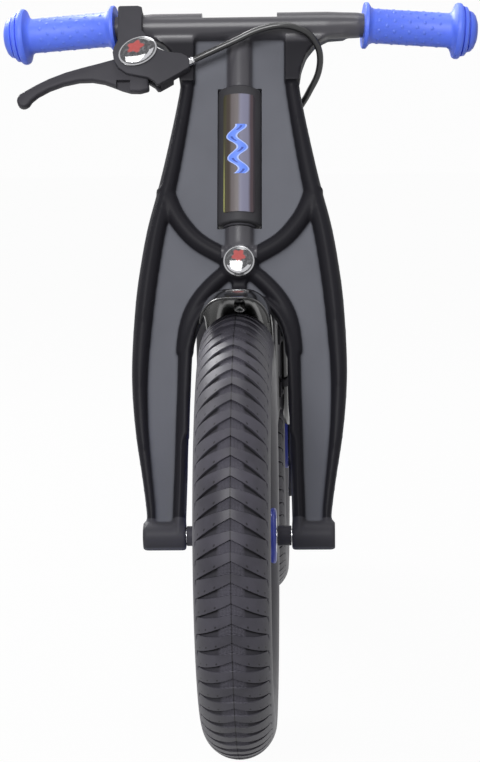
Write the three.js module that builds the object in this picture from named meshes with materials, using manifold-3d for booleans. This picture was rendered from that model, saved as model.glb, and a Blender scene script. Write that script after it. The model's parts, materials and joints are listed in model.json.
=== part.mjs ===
// Child's balance bike with 12.5 inch air tyres, upright on level ground.
// Millimetres. +X is the rider's left, -Y is forwards, +Z is up.
// The origin is on the ground, midway between the wheels.
import * as THREE from 'three';
import { mergeVertices } from 'three/addons/utils/BufferGeometryUtils.js';
import Module from 'manifold-3d';

const wasm = await Module();
wasm.setup();

// ---------------------------------------------------------------- driving dimensions

const GAP = 0.3; // clearance between pieces that seat on each other
const RUN = 0.6; // clearance beside a piece that turns
const ROUND = 12; // sides of a small round piece
const WHEEL_SIDES = 32; // sides of a tyre or rim
const SEAT_SIDES = 14; // sides of the seat tube and what it holds
const ARC_STEPS = 6; // steps around a tyre's section

// wheels
const WHEELBASE = 560;
const TYRE_RADIUS = 160;
const TYRE_HALF_WIDTH = 26.5;
const TYRE_WALL = 4;
const BEAD_HALF_WIDTH = 15;
const BEAD_DEPTH = 4.6;
const RIM_THICKNESS = 3.2;
const RIM_FLANGE_HEIGHT = 3.8;
const RIM_DEPTH = 8;
const SPOKE_COUNT = 5;
const SPOKE_WIDTH = 13;
const SPOKE_THICKNESS = 18;
const SPOKE_FORK_RADIUS = 52;
const SPOKE_FORK_ANGLE = 17; // degrees each side of the spoke
const VALVE_RADIUS = 3.2;
const VALVE_LENGTH = 26;

// hubs, axles and bearings
const HUB_HALF_LENGTH = 27;
const HUB_BARREL_RADIUS = 16;
const HUB_FLANGE_RADIUS = 20;
const HUB_FLANGE_WIDTH = 4;
const BEARING_RADIUS = 13;
const BEARING_WIDTH = 8;
const AXLE_RADIUS = 5;
const DROPOUT_GAP = 76; // between the two fork ends, and between the two frame ends
const FRONT_SPACER_RADIUS = 7.25;
const NUT_RADIUS = 9.5;
const NUT_WIDTH = 7;
const BOLT_RADIUS = 3; // bolts in the front axle's ends
const BOLT_LENGTH = 15;
const BOLT_SINK = 8; // depth of the recess in the fork's end

// steering head
const HEAD_LEAN = 22; // degrees back from upright
const HEAD_TUBE_RADIUS = 16.2;
const HEAD_TUBE_LENGTH = 106;
const BUSH_RADIUS = 9;
const BUSH_DEPTH = 12;
const BUSH_FLANGE_RADIUS = 12.5;
const BUSH_FLANGE_THICKNESS = 1.6;
const SHAFT_RADIUS = 5;
const CAP_RADIUS = 8.4;
const CAP_HEIGHT = 4;
const STICKER_MARGIN = 7; // from either end of the head tube
const STICKER_SPREAD = 44; // degrees each side of the front

// fork, shield and handlebar moulding, in the leaning plane of the steering axis
const SHIELD_THICKNESS = 5;
const SIDE_TUBE_HALF_WIDTH = 6.6;
const SIDE_TUBE_HALF_DEPTH = 9;
const LEG_RIB_HALF_WIDTH = 4.9;
const CROSS_RIB_RADIUS = 7.3;
const ARCH_LIP_THICKNESS = 4.7;
const ARCH_LIP_DEPTH = 20;
const BOSS_RADIUS = 10.4;
const BOSS_LENGTH = 31;
const LEG_FOOT_HALF_WIDTH = 63.5; // side tube's line at the axle
const SHIELD_HALF_WIDTH = 72.4; // side tube's line at the widest place
const WAIST_HALF_WIDTH = 37.6; // side tube's line under the handlebar
const UPPER_NECK_RADIUS = 10.2;
const LOWER_NECK_RADIUS = 11.2;
const ARCH_TO_BADGE = 25.4;
const BADGE_TO_HEAD = 30.3;
const HEAD_TO_BAR = 50.9;

// handlebar and grips
const BAR_RADIUS = 10.5;
const BAR_NECK_RADIUS = 9.5; // thinner stretch that takes the lever clamp
const BAR_NECK_START = 74;
const BAR_FORWARD = 5.5; // bar's axis in front of the shield's middle plane
const BAR_BEND = 91; // where the two ends begin to sweep back
const BAR_END_RADIUS = 9;
const BAR_NOTCH_HALF_WIDTH = 28.3;
const BAR_NOTCH_DEPTH = 6.8;
const GRIP_LENGTH = 89;
const GRIP_RADIUS = 12.9;
const GRIP_INNER_FLANGE_RADIUS = 17.4;
const GRIP_OUTER_FLANGE_RADIUS = 21;
const GRIP_DROOP = 1.5; // degrees
const GRIP_SWEEP = 7; // degrees

// front mudguard
const GUARD_GAP = 12; // from the tyre's crown
const GUARD_THICKNESS = 2.4;
const GUARD_HALF_WIDTH = 24.5;
const GUARD_DROP = 18; // how far the guard's edges come down beside its crown
const GUARD_FORWARD = 12; // guard's middle, forward of the axle
const GUARD_FRONT_ANGLE = 32; // degrees forward of the steering axis
const GUARD_REAR_ANGLE = 28;
const GUARD_STANDOFF = 3; // from the guard to the arch
const GUARD_SCREW_RADIUS = 2;
const SCREW_HEAD_RADIUS = 4.2;
const WASHER_RADIUS = 5;

// brake lever, in the same plane as the shield
const CLAMP_WIDTH = 18;
const CLAMP_CENTRE = -82;
const CLAMP_WALL = 2.7;
const LEVER_LENGTH = 85; // from the clamp's middle to the blade's end
const LEVER_BODY_BACK = 3;
const LEVER_BODY_FRONT = 20;
const LEVER_SLOT_BACK = 7.5;
const LEVER_SLOT_FRONT = 16.4;
const NOSE_BACK = 11.4; // the nose passes in front of the side tube
const SCREW_RADIUS = 2;
const PIN_RADIUS = 2.4;
const FERRULE_RADIUS = 3.2;
const FERRULE_REACH = 4.5; // out of the lever's nose
const CABLE_RADIUS = 2.5;
const CLIP_LENGTH = 8;
const CLIP_WALL = 2;
const WIRE_RADIUS = 0.8;

// main frame
const BEAM_HALF_WIDTH = 24;
const NECK_HALF_WIDTH = 11.4;
const CHEEK_THICKNESS = 4; // plate behind the head tube that closes the gap beside it
const CHEEK_LAP = 1.2; // how far that plate reaches past the shield's opening
const STAY_THICKNESS = 10;
const YOKE_FORWARD = 214; // from the rear axle to the front of the yoke
const BEAM_RISE = 43; // from the axles' height to the beam's underside
const BEAM_HEIGHT = 88;
const TYRE_CLEARANCE = 8;
const SEAT_TUBE_RADIUS = 15;
const SEAT_POST_RADIUS = 11;
const SEAT_TUBE_LENGTH = 62;
const SEAT_TUBE_ANGLE = 18; // degrees back from upright
const SEAT_FORWARD = 220; // from the rear axle to the seat tube's lower end
const SEAT_RISE = 107; // from the axles' height to the seat tube's lower end
const SEAT_POST_LENGTH = 130;
const SEAT_POST_REACH = 34; // above the seat tube with the saddle at its lowest
const COLLAR_HEIGHT = 14;
const COLLAR_WALL = 4;
const SADDLE_HALF_WIDTH = 57;
const SADDLE_NOSE_HALF_WIDTH = 22;
const SADDLE_LENGTH = 190;
const SADDLE_SHELL_THICKNESS = 7;
const SADDLE_SOCKET_DEPTH = 22;
const CUSHION_THICKNESS = 27;

// rear drum brake
const DRUM_RADIUS = 38;
const DRUM_WALL = 4;
const DRUM_FLOOR = 11; // where the drum's cavity begins, out from the wheel's middle
const SHOE_RADIUS = 36.4;
const SHOE_THICKNESS = 12;
const CAM_OFFSET = 29; // from the axle to the cam, and to the anchor pin on the other side
const CAM_THICKNESS = 6;
const CAM_HEIGHT = 10;
const PLATE_THICKNESS = 3.2;
const ARM_THICKNESS = 3;
const ARM_LENGTH = 29;
const ANCHOR_PIN_RADIUS = 3;
const STOP_LENGTH = 12;
const STOP_RADIUS = 3.3;
const STOP_STANDOFF = 3.6; // from the brake plate to the cable's line
const CABLE_STOP = new THREE.Vector2(-45, -56); // cable stop's place from the axle, in Y and Z

// ---------------------------------------------------------------- derived places

const LEAN = THREE.MathUtils.degToRad(HEAD_LEAN);
const FRONT_AXLE = new THREE.Vector3(0, -WHEELBASE / 2, TYRE_RADIUS);
const REAR_AXLE = new THREE.Vector3(0, WHEELBASE / 2, TYRE_RADIUS);
const DROPOUT = DROPOUT_GAP / 2;
const BORE = AXLE_RADIUS + GAP;
const GUARD_RADIUS = TYRE_RADIUS + GUARD_GAP + GUARD_THICKNESS;
const GUARD_INSIDE = GUARD_RADIUS - GUARD_THICKNESS;
const ARCH_TOP = GUARD_RADIUS + GUARD_STANDOFF;
const BADGE_HEIGHT = ARCH_TOP + ARCH_TO_BADGE;
const HEAD_BOTTOM = BADGE_HEIGHT + BADGE_TO_HEAD;
const HEAD_TOP = HEAD_BOTTOM + HEAD_TUBE_LENGTH;
const BAR_HEIGHT = HEAD_TOP + HEAD_TO_BAR;
const WINDOW_END = 2 * GAP + BUSH_FLANGE_THICKNESS;
const WINDOW_HALF_WIDTH = HEAD_TUBE_RADIUS + RUN; // opening in the shield for the head tube
const NOTCH_FLOOR = BAR_HEIGHT + BAR_RADIUS - BAR_NOTCH_DEPTH;
const POST_TOP = SEAT_TUBE_LENGTH + SEAT_POST_REACH;
const POST_BOTTOM = POST_TOP - SEAT_POST_LENGTH;

// ---------------------------------------------------------------- solids

function signedVolume(position, index) {
  const a = new THREE.Vector3();
  const b = new THREE.Vector3();
  const c = new THREE.Vector3();
  let volume = 0;
  for (let i = 0; i < index.count; i += 3) {
    a.fromBufferAttribute(position, index.getX(i));
    b.fromBufferAttribute(position, index.getX(i + 1));
    c.fromBufferAttribute(position, index.getX(i + 2));
    volume += a.dot(b.cross(c)) / 6;
  }
  return volume;
}

// A three.js geometry as a solid, with its faces turned outwards.
function solid(geometry) {
  const bare = geometry.clone();
  bare.deleteAttribute('normal');
  bare.deleteAttribute('uv');
  const merged = mergeVertices(bare, 1e-4);
  const triVerts = new Uint32Array(merged.index.array);
  if (signedVolume(merged.attributes.position, merged.index) < 0) {
    for (let i = 0; i < triVerts.length; i += 3) {
      [triVerts[i + 1], triVerts[i + 2]] = [triVerts[i + 2], triVerts[i + 1]];
    }
  }
  const vertProperties = new Float32Array(merged.attributes.position.array);
  return new wasm.Manifold(new wasm.Mesh({ numProp: 3, vertProperties, triVerts }));
}

function join(...geometries) {
  return geometries.map(solid).reduce((whole, piece) => whole.add(piece));
}

function cut(whole, ...geometries) {
  return geometries.map(solid).reduce((rest, piece) => rest.subtract(piece), whole);
}

function toGeometry(manifold) {
  const mesh = manifold.getMesh();
  const geometry = new THREE.BufferGeometry();
  geometry.setAttribute('position', new THREE.BufferAttribute(new Float32Array(mesh.vertProperties), 3));
  geometry.setIndex(new THREE.BufferAttribute(new Uint32Array(mesh.triVerts), 1));
  return geometry;
}

const UP = new THREE.Vector3(0, 1, 0);

// Round bar between two points, with another radius at its far end if one is given.
function rod(from, to, radius, endRadius = radius, sides = ROUND) {
  const start = new THREE.Vector3(...from);
  const end = new THREE.Vector3(...to);
  const along = end.clone().sub(start);
  const geometry = new THREE.CylinderGeometry(endRadius, radius, along.length(), sides);
  geometry.applyQuaternion(new THREE.Quaternion().setFromUnitVectors(UP, along.clone().normalize()));
  const middle = start.add(end).multiplyScalar(0.5);
  return geometry.translate(middle.x, middle.y, middle.z);
}

// Round bar for a pin, and the loose hole that takes one.
const pin = (from, to, radius, sides = ROUND) => rod(from, to, radius, radius, sides);
const bore = (from, to, radius, sides = ROUND) => rod(from, to, radius + GAP, radius + GAP, sides);

function box(low, high) {
  const size = high.map((value, axis) => value - low[axis]);
  const middle = high.map((value, axis) => (value + low[axis]) / 2);
  return new THREE.BoxGeometry(...size).translate(...middle);
}

// Turned piece about X. Profile points are [place along X, radius].
function turned(profile, sides = ROUND) {
  const points = profile.map(([along, radius]) => new THREE.Vector2(radius, along));
  return new THREE.LatheGeometry(points, sides).rotateZ(-Math.PI / 2);
}

// Washer, bush or bearing about X between two places.
function ring(start, end, inner, outer, sides = ROUND) {
  return turned([[start, inner], [start, outer], [end, outer], [end, inner], [start, inner]], sides);
}

function polygon(points) {
  return new THREE.Shape(points.map(([a, b]) => new THREE.Vector2(a, b)));
}

// Closed outline that runs smoothly through its points.
function smoothOutline(points, divisions) {
  const curve = new THREE.CatmullRomCurve3(points.map(([a, b]) => new THREE.Vector3(a, b, 0)), true);
  return new THREE.Shape(curve.getPoints(divisions).slice(0, -1).map((p) => new THREE.Vector2(p.x, p.y)));
}

function extruded(shape, start, end, curveSegments = 12) {
  const options = { depth: end - start, bevelEnabled: false, curveSegments };
  return new THREE.ExtrudeGeometry(shape, options).translate(0, 0, start);
}

// Side profile drawn in Y and Z, extruded along X.
const SIDE_VIEW = new THREE.Matrix4().makeBasis(
  new THREE.Vector3(0, 1, 0),
  new THREE.Vector3(0, 0, 1),
  new THREE.Vector3(1, 0, 0),
);
function sideExtruded(shape, start, end) {
  return extruded(shape, start, end).applyMatrix4(SIDE_VIEW);
}

// Oval tube along a curve through points of the XY plane, or round along any curve.
function sweep(points, halfWidth, halfDepth, steps, segments = 3) {
  const section = new THREE.Shape().absellipse(0, 0, halfDepth, halfWidth, 0, 2 * Math.PI);
  const extrudePath = new THREE.CatmullRomCurve3(points.map((p) => new THREE.Vector3(...p)));
  return new THREE.ExtrudeGeometry(section, { steps, extrudePath, curveSegments: segments });
}

function mirrored(geometry) {
  return geometry.clone().scale(-1, 1, 1);
}

// ---------------------------------------------------------------- materials

function finish(color, roughness, metalness = 0) {
  return new THREE.MeshStandardMaterial({ color, roughness, metalness });
}

const FINISHES = {
  moulding: () => finish(0x242426, 0.55),
  frame: () => finish(0x1c1c1e, 0.55),
  tyre: () => finish(0x2a2a2b, 0.85),
  innerTube: () => finish(0x151515, 0.7),
  blue: () => finish(0x3c4fe0, 0.5),
  grip: () => finish(0x4a5cf0, 0.65),
  steel: () => finish(0xb9bcc0, 0.3, 1),
  darkSteel: () => finish(0x55585c, 0.4, 1),
  gloss: () => finish(0x0e0e10, 0.12),
  foil: () => finish(0x8f8680, 0.25, 0.4),
  badge: () => finish(0x8a1b1f, 0.1),
  lining: () => finish(0x6b5a4a, 0.9),
  cushion: () => finish(0x1b1b1d, 0.75),
  cable: () => finish(0x121214, 0.45),
};

function add(group, name, manifold, material) {
  const mesh = new THREE.Mesh(toGeometry(manifold), FINISHES[material]());
  mesh.name = name;
  group.add(mesh);
  return mesh;
}

// ---------------------------------------------------------------- groups

const bike = new THREE.Group();

// Steering frame: X across, Y up along the steering axis, Z square to the shield and forwards.
const steering = new THREE.Group();
steering.position.copy(FRONT_AXLE);
steering.rotation.x = Math.PI / 2 - LEAN;
bike.add(steering);

const frontWheel = new THREE.Group();
frontWheel.position.copy(FRONT_AXLE);
bike.add(frontWheel);

const rearWheel = new THREE.Group();
rearWheel.position.copy(REAR_AXLE);
bike.add(rearWheel);

// ---------------------------------------------------------------- wheels

const TYRE_MIDDLE = TYRE_RADIUS - TYRE_HALF_WIDTH;
const BEAD_ANGLE = Math.PI - Math.asin(BEAD_HALF_WIDTH / TYRE_HALF_WIDTH);
const BEAD_TOP = TYRE_MIDDLE + TYRE_HALF_WIDTH * Math.cos(BEAD_ANGLE);
const BEAD_RADIUS = BEAD_TOP - BEAD_DEPTH;
const TUBE_SECTION = (TYRE_HALF_WIDTH - TYRE_WALL) * Math.cos(BEAD_ANGLE / ARC_STEPS) - GAP;
const RIM_BED = BEAD_RADIUS - GAP;
const RIM_INSIDE = RIM_BED - RIM_DEPTH;

function arc(radius, startAngle, endAngle, count) {
  const points = [];
  for (let i = 0; i <= count; i++) {
    const angle = startAngle + ((endAngle - startAngle) * i) / count;
    points.push([radius * Math.sin(angle), TYRE_MIDDLE + radius * Math.cos(angle)]);
  }
  return points;
}

function tyre() {
  const inside = BEAD_HALF_WIDTH - TYRE_WALL * 0.6;
  const profile = [
    ...arc(TYRE_HALF_WIDTH, -BEAD_ANGLE, BEAD_ANGLE, ARC_STEPS),
    [BEAD_HALF_WIDTH, BEAD_RADIUS],
    [inside, BEAD_RADIUS],
    ...arc(TYRE_HALF_WIDTH - TYRE_WALL, BEAD_ANGLE, -BEAD_ANGLE, ARC_STEPS),
    [-inside, BEAD_RADIUS],
    [-BEAD_HALF_WIDTH, BEAD_RADIUS],
  ];
  return solid(turned([...profile, profile[0]], WHEEL_SIDES));
}

function innerTube() {
  const section = arc(TUBE_SECTION, 0, 2 * Math.PI, ARC_STEPS);
  const valveRoot = [0, 0, TYRE_MIDDLE - TUBE_SECTION + 3];
  const valveEnd = [0, 0, RIM_INSIDE - VALVE_LENGTH + RIM_DEPTH];
  return join(turned(section, WHEEL_SIDES), rod(valveRoot, valveEnd, VALVE_RADIUS, VALVE_RADIUS, 12));
}

function rim() {
  const flange = BEAD_HALF_WIDTH + GAP;
  const outside = flange + RIM_THICKNESS - 0.5;
  const half = [
    [outside, RIM_BED + RIM_FLANGE_HEIGHT],
    [flange, RIM_BED + RIM_FLANGE_HEIGHT],
    [flange, RIM_BED],
    [flange - 4.3, RIM_BED],
    [flange - 6.3, RIM_BED - RIM_THICKNESS],
  ];
  const outer = [[outside, RIM_BED - RIM_THICKNESS - 0.5], [outside - 6, RIM_INSIDE]];
  const flip = ([x, r]) => [-x, r];
  const profile = [...half, ...half.map(flip).reverse(), ...outer.map(flip), ...[...outer].reverse()];
  return turned([...profile, profile[0]], WHEEL_SIDES);
}

// Flat bar of the wheel's disc between two places given as [radius, angle in degrees].
function slab(from, to) {
  const place = ([radius, angle]) => {
    const turn = THREE.MathUtils.degToRad(angle);
    return new THREE.Vector2(radius * Math.sin(turn), radius * Math.cos(turn));
  };
  const start = place(from);
  const end = place(to);
  const length = start.distanceTo(end);
  const bar = new THREE.BoxGeometry(SPOKE_THICKNESS, SPOKE_WIDTH, length);
  bar.rotateX(-Math.atan2(end.x - start.x, end.y - start.y));
  const middle = start.add(end).multiplyScalar(0.5);
  return bar.translate(0, middle.x, middle.y);
}

function spokes() {
  const bars = [];
  for (let i = 0; i < SPOKE_COUNT; i++) {
    const angle = (360 * (i + 0.5)) / SPOKE_COUNT;
    bars.push(slab([HUB_BARREL_RADIUS - 3, angle], [SPOKE_FORK_RADIUS + 3, angle]));
    for (const side of [-1, 1]) {
      const end = [RIM_INSIDE + 2.5, angle + side * SPOKE_FORK_ANGLE];
      bars.push(slab([SPOKE_FORK_RADIUS, angle], end));
    }
  }
  return bars;
}

// Wheel moulding: hub, spokes and rim in one. The drum is on the rider's left of a braked wheel.
function wheel(hasDrum) {
  const flangeStart = HUB_HALF_LENGTH - HUB_FLANGE_WIDTH;
  const pieces = [
    rim(),
    ...spokes(),
    ring(-HUB_HALF_LENGTH, HUB_HALF_LENGTH, AXLE_RADIUS + 2, HUB_BARREL_RADIUS),
    ring(-HUB_HALF_LENGTH, -flangeStart, BEARING_RADIUS, HUB_FLANGE_RADIUS, 16),
  ];
  if (hasDrum) {
    const outer = DRUM_RADIUS + DRUM_WALL;
    pieces.push(ring(DRUM_FLOOR - DRUM_WALL, DRUM_FLOOR, BEARING_RADIUS, outer, 20));
    pieces.push(ring(DRUM_FLOOR - DRUM_WALL, HUB_HALF_LENGTH, DRUM_RADIUS, outer, 20));
  } else {
    pieces.push(ring(flangeStart, HUB_HALF_LENGTH, BEARING_RADIUS, HUB_FLANGE_RADIUS, 16));
  }
  const seat = HUB_HALF_LENGTH - BEARING_WIDTH;
  const holes = [
    rod([-HUB_HALF_LENGTH - 1, 0, 0], [HUB_HALF_LENGTH + 1, 0, 0], AXLE_RADIUS + 2.5),
    rod([seat, 0, 0], [HUB_HALF_LENGTH + 1, 0, 0], BEARING_RADIUS + GAP),
    rod([-HUB_HALF_LENGTH - 1, 0, 0], [-seat, 0, 0], BEARING_RADIUS + GAP),
    rod([0, 0, RIM_INSIDE - 5], [0, 0, RIM_BED + 5], VALVE_RADIUS + GAP, VALVE_RADIUS + GAP, 12),
  ];
  if (hasDrum) {
    const cavity = ring(DRUM_FLOOR, HUB_HALF_LENGTH + 1, HUB_BARREL_RADIUS, DRUM_RADIUS, 20);
    holes.push(cavity);
  }
  return cut(join(...pieces), ...holes);
}

function addWheel(group, end, hasDrum) {
  add(group, `${end}_wheel`, wheel(hasDrum), 'blue');
  add(group, `${end}_tyre`, tyre(), 'tyre');
  add(group, `${end}_inner_tube`, innerTube(), 'innerTube');
  for (const [side, name] of [[-1, 'right'], [1, 'left']]) {
    const near = side * (HUB_HALF_LENGTH - BEARING_WIDTH + GAP);
    const far = side * HUB_HALF_LENGTH;
    const race = ring(Math.min(near, far), Math.max(near, far), BORE, BEARING_RADIUS);
    add(group, `${end}_bearing_${name}`, solid(race), 'darkSteel');
  }
}

addWheel(frontWheel, 'front', false);
addWheel(rearWheel, 'rear', true);

// ---------------------------------------------------------------- fork, shield and handlebar

// Line of the side tube on the rider's left, from the axle up to the handlebar.
const SIDE_LINE = [
  [LEG_FOOT_HALF_WIDTH, 0],
  [LEG_FOOT_HALF_WIDTH + 5.5, ARCH_TOP * 0.342],
  [SHIELD_HALF_WIDTH, ARCH_TOP * 0.65],
  [SHIELD_HALF_WIDTH - 3, ARCH_TOP * 0.96],
  [SHIELD_HALF_WIDTH - 12, HEAD_BOTTOM],
  [SHIELD_HALF_WIDTH - 20, HEAD_BOTTOM + HEAD_TUBE_LENGTH * 0.28],
  [WAIST_HALF_WIDTH + 5.5, HEAD_TOP - 23.5],
  [WAIST_HALF_WIDTH, HEAD_TOP + 6.5],
  [WAIST_HALF_WIDTH + 2, BAR_HEIGHT - BAR_RADIUS + 3],
];

// Edge of the wheel opening, from the axle up to the middle of the arch.
const LEG_INSIDE = DROPOUT + 0.5;
const OPENING_EDGE = [
  [LEG_INSIDE, 0],
  [LEG_INSIDE - 1.7, ARCH_TOP * 0.414],
  [LEG_INSIDE - 3.3, ARCH_TOP * 0.733],
  [LEG_INSIDE - 8, ARCH_TOP - 22],
  [LEG_INSIDE - 13.5, ARCH_TOP - 13],
  [LEG_INSIDE - 23.5, ARCH_TOP - 4],
  [0, ARCH_TOP],
];

function flatCurve(points, divisions) {
  const curve = new THREE.CatmullRomCurve3(points.map(([u, v]) => new THREE.Vector3(u, v, 0)));
  return curve.getPoints(divisions).map((p) => [p.x, p.y]);
}

function shieldPlate() {
  const left = flatCurve(SIDE_LINE, 10);
  const edge = flatCurve(OPENING_EDGE, 12);
  const flip = ([u, v]) => [-u, v];
  const outline = [
    ...left,
    ...left.map(flip).reverse(),
    ...edge.map(flip),
    ...edge.slice(0, -1).reverse(),
  ];
  return extruded(polygon(outline), -SHIELD_THICKNESS / 2, SHIELD_THICKNESS / 2);
}

function onPlane(points, forward) {
  return points.map(([u, v]) => [u, v, forward]);
}

// Everything on the rider's left half of the moulding that the right half mirrors.
function halfRibs() {
  const forward = 1.5;
  const sideTube = sweep(onPlane(SIDE_LINE, forward), SIDE_TUBE_HALF_WIDTH, SIDE_TUBE_HALF_DEPTH, 10);
  const rib = LEG_INSIDE + LEG_RIB_HALF_WIDTH;
  const legRib = sweep(
    onPlane(
      [[rib, 0], [rib - 1.9, ARCH_TOP * 0.43], [rib - 3, ARCH_TOP * 0.75], [rib - 6, ARCH_TOP - 20]],
      forward,
    ),
    LEG_RIB_HALF_WIDTH,
    SIDE_TUBE_HALF_DEPTH,
    5,
  );
  const lowerArm = sweep(
    onPlane(
      [[rib - 5, ARCH_TOP - 24], [rib - 13, ARCH_TOP - 4], [16, ARCH_TOP + 12], [0, BADGE_HEIGHT]],
      forward + 1,
    ),
    CROSS_RIB_RADIUS,
    CROSS_RIB_RADIUS + 1,
    5,
  );
  const upperArm = sweep(
    onPlane(
      [[0, BADGE_HEIGHT], [20, BADGE_HEIGHT + 12], [39.5, BADGE_HEIGHT + 29], [52, BADGE_HEIGHT + 52]],
      forward + 1,
    ),
    CROSS_RIB_RADIUS,
    CROSS_RIB_RADIUS + 1,
    5,
  );
  const boss = rod([DROPOUT, 0, 0], [DROPOUT + BOSS_LENGTH, 0, 0], BOSS_RADIUS);
  const webStart = WAIST_HALF_WIDTH - 3;
  const webTop = BAR_HEIGHT - BAR_RADIUS + 4;
  const web = new THREE.Shape();
  web.moveTo(webStart, webTop);
  web.lineTo(webStart + 4, HEAD_TOP + 4.5);
  web.lineTo(webStart + 9, HEAD_TOP + 4.5);
  web.quadraticCurveTo(webStart + 10, webTop - 10, webStart + 30, webTop);
  return [sideTube, legRib, lowerArm, upperArm, boss, extruded(web, -5, 10, 5)];
}

// Lip around the top of the wheel opening, made as a band between two arches.
function archLip() {
  const inner = flatCurve(OPENING_EDGE.slice(2), 7);
  const outer = inner.map(([u, v]) => {
    const spread = ARCH_LIP_THICKNESS;
    const reach = Math.hypot(u, v - ARCH_TOP * 0.62);
    return [u + (u / reach) * spread, v + ((v - ARCH_TOP * 0.62) / reach) * spread];
  });
  const flip = ([u, v]) => [-u, v];
  const outline = [
    ...inner,
    ...inner.slice(0, -1).map(flip).reverse(),
    ...outer.slice(0, -1).map(flip),
    ...[...outer].reverse(),
  ];
  return extruded(polygon(outline), 11.5 - ARCH_LIP_DEPTH, 11.5);
}

const SHAFT_END = BADGE_HEIGHT + 2;
const gripDirection = (side) => {
  const droop = THREE.MathUtils.degToRad(GRIP_DROOP);
  const back = THREE.MathUtils.degToRad(GRIP_SWEEP);
  return new THREE.Vector3(
    side * Math.cos(droop) * Math.cos(back),
    -Math.sin(droop),
    -Math.cos(droop) * Math.sin(back),
  );
};

function handlebar() {
  const place = (u) => [u, BAR_HEIGHT, BAR_FORWARD];
  const pieces = [
    rod(place(-BAR_NECK_START), place(BAR_NECK_START), BAR_RADIUS),
    rod(place(-BAR_BEND), place(BAR_BEND), BAR_NECK_RADIUS),
  ];
  for (const side of [-1, 1]) {
    const bend = new THREE.Vector3(side * BAR_BEND, BAR_HEIGHT, BAR_FORWARD);
    const start = bend.clone().addScaledVector(gripDirection(side), -4);
    const end = bend.clone().addScaledVector(gripDirection(side), GRIP_LENGTH - 7);
    pieces.push(rod(start.toArray(), end.toArray(), BAR_END_RADIUS));
  }
  return pieces;
}

function forkPanel() {
  const half = halfRibs();
  const badgeBoss = rod([0, BADGE_HEIGHT, 0], [0, BADGE_HEIGHT, 12], 12.8);
  const upperNeck = rod([0, HEAD_TOP, 0], [0, BAR_HEIGHT, 0], UPPER_NECK_RADIUS);
  const lowerNeck = rod([0, BADGE_HEIGHT, 0], [0, HEAD_BOTTOM, 0], LOWER_NECK_RADIUS);
  const standoff = rod([0, GUARD_RADIUS + 1.6, 0], [0, ARCH_TOP + 3, 0], 4.2);
  const crownRib = box([-4, ARCH_TOP, -2], [4, BADGE_HEIGHT, 7]);
  const whole = join(
    shieldPlate(),
    ...half,
    ...half.map(mirrored),
    archLip(),
    badgeBoss,
    upperNeck,
    lowerNeck,
    standoff,
    crownRib,
    ...handlebar(),
  );
  const capSeat = NOTCH_FLOOR - CAP_HEIGHT - GAP;
  const reach = DROPOUT + BOSS_LENGTH;
  return cut(
    whole,
    box(
      [-WINDOW_HALF_WIDTH, HEAD_BOTTOM - WINDOW_END, -30],
      [WINDOW_HALF_WIDTH, HEAD_TOP + WINDOW_END, 30],
    ),
    box([-BAR_NOTCH_HALF_WIDTH, NOTCH_FLOOR, -30], [BAR_NOTCH_HALF_WIDTH, NOTCH_FLOOR + 30, 30]),
    box([-DROPOUT, -20, -30], [DROPOUT, BOSS_RADIUS + 8, 30]),
    rod([0, SHAFT_END, 0], [0, BAR_HEIGHT + 20, 0], SHAFT_RADIUS + GAP),
    rod([0, capSeat, 0], [0, capSeat + 30, 0], CAP_RADIUS + GAP),
    rod([-reach - 1, 0, 0], [reach + 1, 0, 0], BORE),
    rod([reach - BOLT_SINK, 0, 0], [reach + 1, 0, 0], AXLE_RADIUS + 2),
    rod([-reach - 1, 0, 0], [-reach + BOLT_SINK, 0, 0], AXLE_RADIUS + 2),
    rod([0, GUARD_RADIUS, 0], [0, ARCH_TOP + 1, 0], GUARD_SCREW_RADIUS + GAP, GUARD_SCREW_RADIUS + GAP, 12),
  );
}

add(steering, 'fork_panel', forkPanel(), 'moulding');

function gripProfile() {
  const bore = BAR_END_RADIUS + GAP;
  const flange = GRIP_OUTER_FLANGE_RADIUS;
  const length = GRIP_LENGTH;
  return [
    [0, length],
    [7, length - 0.6],
    [14.5, length - 3],
    [15.5, length - 7],
    [14, length - 7.5],
    [18.5, length - 8.5],
    [19.2, length - 11.5],
    [17.5, length - 12],
    [flange, length - 13],
    [flange, length - 18],
    [17, length - 21],
    [GRIP_RADIUS, length - 23],
    [GRIP_RADIUS, 10],
    [14, 7],
    [GRIP_INNER_FLANGE_RADIUS, 5.5],
    [GRIP_INNER_FLANGE_RADIUS, 2],
    [bore, 2],
    [bore, length - 6],
    [0, length - 6],
  ];
}

function addGrip(name, side) {
  const points = gripProfile().map(([radius, along]) => new THREE.Vector2(radius, along));
  const grip = add(steering, name, solid(new THREE.LatheGeometry(points, 16)), 'grip');
  grip.position.set(side * BAR_BEND, BAR_HEIGHT, BAR_FORWARD);
  grip.quaternion.setFromUnitVectors(UP, gripDirection(side));
}

addGrip('right_grip', -1);
addGrip('left_grip', 1);

// ---------------------------------------------------------------- steering shaft and bushes

const shaftTop = NOTCH_FLOOR - CAP_HEIGHT - 2 * GAP;
add(steering, 'steering_shaft', solid(rod([0, SHAFT_END + GAP, 0], [0, shaftTop, 0], SHAFT_RADIUS)), 'steel');
add(
  steering,
  'steering_cap',
  solid(rod([0, shaftTop + GAP, 0], [0, shaftTop + GAP + CAP_HEIGHT, 0], CAP_RADIUS, CAP_RADIUS - 1.2)),
  'moulding',
);

// Flanged bush that enters one end of the head tube.
function steeringBush(end, direction) {
  const flangeEnd = end + direction * (GAP + BUSH_FLANGE_THICKNESS);
  const sleeve = rod([0, end - direction * (BUSH_DEPTH - GAP), 0], [0, flangeEnd, 0], BUSH_RADIUS - GAP);
  const flange = rod([0, end + direction * GAP, 0], [0, flangeEnd, 0], BUSH_FLANGE_RADIUS);
  const hole = rod([0, end - 30, 0], [0, end + 30, 0], SHAFT_RADIUS + GAP);
  return cut(join(sleeve, flange), hole);
}

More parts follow.
